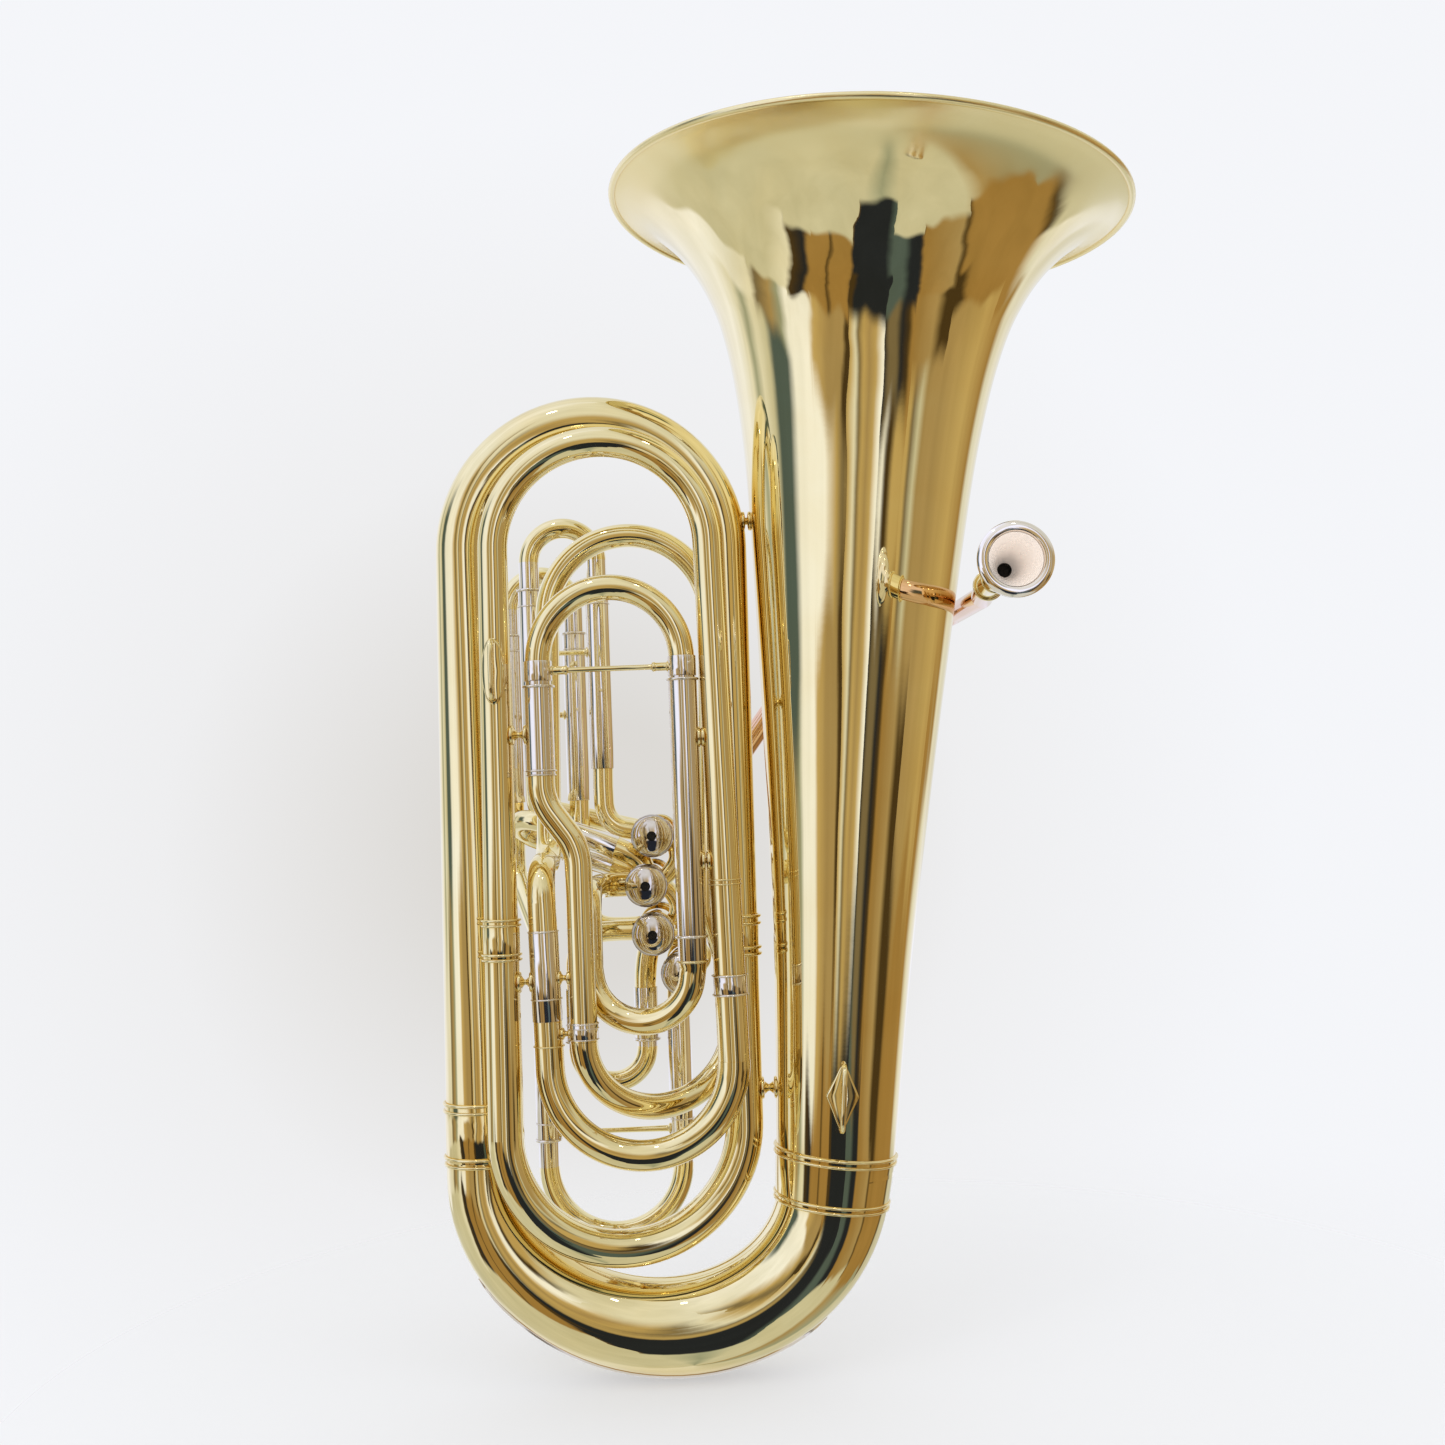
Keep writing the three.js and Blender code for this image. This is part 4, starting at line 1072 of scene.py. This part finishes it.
def strap_wire(node, base, axis, front, name):
    """The wire loop: out of the plate, along, and back into it."""
    low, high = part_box(node)
    wire = 1.9 * MM
    reach = high.y - low.y - wire
    half = (high.z - low.z) / 2 - wire
    top = base.r + 0.8 * MM
    centre = base.p + axis * ((middle(node) - base.p).dot(axis))
    path = []
    steps = 40
    for k in range(steps + 1):
        a = math.pi * (k / steps)
        along = -math.copysign(abs(math.cos(a)) ** 0.45, math.cos(a)) * half
        out = top - 1.5 * MM + (reach + 1.2 * MM) * abs(math.sin(a)) ** 0.5
        path.append(centre + axis * along + front * out)
    sweep(name, stations_on(path, wire, wire * SOLID), [BRASS], 20, replaces=[node])


bell_plate = plate_on("bell_strap_plate", "bell", 196, 49, 23, diamond)
strap_wire("bell_strap_ring", *bell_plate, "bell_strap_wire")
branch_plate = plate_on("branch_strap_plate", "left_front_branch", 495, 46, 17, oval)
strap_wire("branch_strap_ring", *branch_plate, "branch_strap_wire")

# ---- Stage: floor, light and camera ----


def floor_material():
    material, tree, shader, place = new_material("pale_floor")
    tone = noise_node(tree, place, 1.2, 2)
    color = ramp_node(tree, tone, [(0.3, (0.90, 0.90, 0.91)), (0.7, (0.92, 0.92, 0.925))])
    reach = add_node(tree, "VectorMath", {0: place}, operation="LENGTH")
    fade = ramp_node(tree, reach.outputs["Value"], [(0.25, (0.5, 0.5, 0.5)), (0.9, (0, 0, 0))], "EASE")
    dull = {"Roughness": 0.9, "Specular IOR Level": 0.1}
    feed(tree, shader, {"Base Color": color, "Alpha": fade, **dull})
    return material


def add_floor():
    bpy.ops.mesh.primitive_plane_add(size=4, location=(0, 0, -0.0015))
    floor = bpy.context.object
    floor.name = "floor"
    floor.data.materials.append(floor_material())
    floor.visible_glossy = False  # polished metal mirrors the room's own floor tones


# The room that polished metal mirrors. Each layer is a run of tones round the horizon: the place on
# a full turn that starts behind the tuba and runs by its left (-X) side, with the viewer at 0.5.
CREAM = (0.99, 1.04, 1.30)
PALE = (0.82, 0.83, 0.85)
GREY = (0.64, 0.64, 0.58)
SAGE = (0.36, 0.40, 0.36)
GOLD = (0.56, 0.42, 0.20)
TAN = (0.42, 0.31, 0.16)
BROWN = (0.37, 0.23, 0.08)
OLIVE = (0.20, 0.16, 0.10)
UMBER = (0.07, 0.045, 0.018)
TEAL = (0.09, 0.13, 0.15)
NAVY = (0.02, 0.024, 0.036)

CEILING_TONES = [(0.0, PALE), (0.3, CREAM), (0.5, PALE), (0.7, GREY), (0.9, PALE)]
HIGH_TONES = [
    (0.00, PALE), (0.13, CREAM), (0.17, PALE), (0.19, SAGE), (0.21, PALE), (0.24, GREY), (0.255, TEAL),
    (0.29, TEAL), (0.31, CREAM), (0.39, CREAM), (0.425, GOLD), (0.44, OLIVE), (0.452, GOLD),
    (0.466, PALE), (0.475, OLIVE), (0.487, GOLD), (0.50, TAN), (0.515, GOLD), (0.531, CREAM),
    (0.547, CREAM), (0.556, UMBER), (0.563, UMBER), (0.575, GOLD), (0.61, GOLD), (0.62, OLIVE),
    (0.64, GREY), (0.655, TAN), (0.70, TAN), (0.79, GOLD), (0.85, BROWN), (0.87, PALE), (1.00, PALE),
]  # fmt: skip
LOW_TONES = [
    (0.00, PALE), (0.14, CREAM), (0.22, PALE), (0.235, OLIVE), (0.262, TAN), (0.285, SAGE),
    (0.305, CREAM), (0.357, CREAM), (0.368, GOLD), (0.40, TAN), (0.433, TAN), (0.44, UMBER),
    (0.457, UMBER), (0.465, NAVY), (0.535, NAVY), (0.545, OLIVE), (0.56, OLIVE), (0.572, NAVY),
    (0.588, UMBER), (0.597, BROWN), (0.65, TAN), (0.67, UMBER), (0.705, UMBER), (0.72, BROWN),
    (0.83, BROWN), (0.86, PALE), (0.93, CREAM), (1.00, PALE),
]  # fmt: skip
NEAR_TONES = [
    (0.00, PALE), (0.09, PALE), (0.13, GREY), (0.27, GREY), (0.31, PALE), (0.32, UMBER),
    (0.35, NAVY), (0.36, BROWN), (0.398, BROWN), (0.403, UMBER), (0.41, BROWN), (0.445, BROWN),
    (0.452, NAVY), (0.52, NAVY), (0.535, TEAL), (0.56, TEAL), (0.575, NAVY), (0.597, NAVY),
    (0.605, BROWN), (0.68, TAN), (0.69, UMBER), (0.70, BROWN), (0.835, BROWN), (0.85, UMBER),
    (0.865, GREY), (0.93, GREY), (1.00, PALE),
]  # fmt: skip
FLOOR_TONES = [
    (0.0, PALE), (0.11, PALE), (0.16, GREY), (0.46, GREY), (0.5, SAGE), (0.54, GREY), (0.68, GREY),
    (0.72, TAN), (0.84, SAGE), (0.86, GREY), (0.94, GREY), (1.0, PALE),
]  # fmt: skip
# How far each stretch of the room's edges is moved down from its layer's height: 0.5 is not at all.
DROPS = [
    (0.00, 0.5), (0.22, 0.35), (0.31, 0.25), (0.36, 0.30), (0.448, 0.95), (0.535, 0.45), (0.60, 0.62),
    (0.69, 0.85), (0.81, 0.5),
]  # fmt: skip
DROP = 0.34
# Each layer's tones and the heights (sine of the angle over the horizon) its lower edge fades in over.
LAYERS = [
    (FLOOR_TONES, None),
    (NEAR_TONES, (-0.67, -0.63)),
    (LOW_TONES, (-0.30, -0.26)),
    (HIGH_TONES, (-0.12, -0.06)),
    (CEILING_TONES, (0.30, 0.62)),
]


def mirrored_room(tree, direction):
    """The colour of the striped room in a direction, with wavering edges."""
    x, y, z = add_node(tree, "SeparateXYZ", {0: direction}).outputs
    turn = math_node(tree, "ARCTAN2", x, math_node(tree, "MULTIPLY", y, -1.0))
    turn = multiply_add(tree, turn, 1 / (2 * math.pi), 0.5)
    waver = noise_node(tree, stretched(tree, direction, (1.5, 1.5, 5)), 1.0, 3)
    turn = math_node(tree, "ADD", turn, multiply_add(tree, waver, 0.036, -0.018))
    drops = ramp_node(tree, turn, [(place, (drop,) * 3) for place, drop in DROPS], "CONSTANT")
    slant = noise_node(tree, stretched(tree, direction, (3, 3, 0.01)), 1.0, 1)
    height = math_node(tree, "ADD", z, multiply_add(tree, slant, 0.20, -0.10))
    height = math_node(tree, "ADD", height, multiply_add(tree, drops, DROP, -DROP / 2))
    room = None
    for tones, edge in LAYERS:
        layer = ramp_node(tree, turn, tones)
        room = mix_colors(tree, fade_in(tree, height, *edge), room, layer) if edge else layer
    mottle = noise_node(tree, direction, 4.0, 4, 0.5)
    shade = ramp_node(tree, mottle, [(0.3, (0.90, 0.90, 0.88)), (0.7, (1.04, 1.04, 1.05))])
    return mix_colors(tree, 1.0, room, shade, "MULTIPLY")


def add_world():
    """Even light for the surroundings, a striped room for what the metal mirrors, and for the camera a
    backdrop with painted shade, darker near the middle of the view.
    """
    world = bpy.data.worlds.new("soft_room")
    bpy.context.scene.world = world
    world.use_nodes = True
    tree = world.node_tree
    tree.nodes.clear()
    direction = add_node(tree, "TexCoord", {}).outputs["Generated"]
    x, _, z = add_node(tree, "SeparateXYZ", {0: direction}).outputs
    left = math_node(tree, "ADD", x, 0.09)
    low = math_node(tree, "ADD", z, 0.02)
    aside, above = (math_node(tree, "MULTIPLY", offset, offset) for offset in (left, low))
    away = math_node(tree, "SQRT", math_node(tree, "ADD", aside, above))
    # Painted shade on the backdrop: darker near the middle of the view, round the tuba, and paler
    # outwards.
    wall = [(0.08, (0.72, 0.70, 0.67)), (0.24, (0.86, 0.86, 0.87)), (0.42, (0.91, 0.92, 0.95))]
    shaded_backdrop = ramp_node(tree, away, wall)
    ray = add_node(tree, "LightPath", {}).outputs
    seen = add_node(tree, "Background", {"Color": shaded_backdrop})
    light = add_node(tree, "Background", {"Color": (0.97, 0.98, 1.0, 1), "Strength": 0.95})
    glossy = add_node(tree, "Background", {"Color": mirrored_room(tree, direction)})
    unseen = mix_shaders(tree, ray["Is Glossy Ray"], light, glossy)
    room = mix_shaders(tree, ray["Is Camera Ray"], unseen, seen)
    add_node(tree, "OutputWorld", {"Surface": room.outputs[0]})


def mix_shaders(tree, factor, a, b):
    return add_node(tree, "MixShader", {0: factor, 1: a.outputs[0], 2: b.outputs[0]})


LIT_POINT = Vector((0, 0, 0.4))  # in metres, near the middle of the tuba


def add_light(name, place, size, power, mirrored=False):
    """A round lamp that faces the tuba, and that the metal mirrors only if asked to."""
    data = bpy.data.lights.new(name, "AREA")
    data.shape = "DISK"
    data.size, data.energy = size, power
    obj = bpy.data.objects.new(name, data)
    obj.visible_glossy = mirrored
    obj.location = place
    obj.rotation_euler = (LIT_POINT - Vector(place)).to_track_quat("-Z", "Y").to_euler()
    bpy.context.scene.collection.objects.link(obj)


# The viewpoint, from the middle of the right outer branch at the height of its foot.
EYE_FROM_BRANCH = Vector((-7.3, -1145.2, 220.7)) * MM
EYE_RIGHT = Vector((0.99926, 0.0, -0.03839))
EYE_FORWARD = Vector((0.00201, 0.99863, 0.05230))
LENS = 39.86
SENSOR = 36.0


def add_camera():
    low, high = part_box("right_outer_branch")
    foot = Vector(((low.x + high.x) / 2, (low.y + high.y) / 2, low.z))
    data = bpy.data.cameras.new("camera")
    data.lens, data.sensor_width = LENS, SENSOR
    data.clip_start, data.clip_end = 0.01, 100
    camera = bpy.data.objects.new("camera", data)
    forward = EYE_FORWARD.normalized()
    right = (EYE_RIGHT - forward * EYE_RIGHT.dot(forward)).normalized()
    up = right.cross(forward)
    turn = Matrix((right, up, -forward)).transposed()
    camera.matrix_world = Matrix.Translation(foot + EYE_FROM_BRANCH) @ turn.to_4x4()
    bpy.context.scene.collection.objects.link(camera)
    bpy.context.scene.camera = camera


add_floor()
add_world()
add_light("key", (-1.6, -1.9, 2.3), 1.8, 9)
add_light("fill", (2.2, -1.2, 1.6), 1.8, 5)
add_light("lamp_left", (-0.7, -1.1, 2.6), 0.13, 0.6, mirrored=True)
add_light("lamp_right", (0.5, -1.3, 2.6), 0.13, 0.6, mirrored=True)
add_camera()
bpy.context.scene.view_settings.view_transform = "Standard"
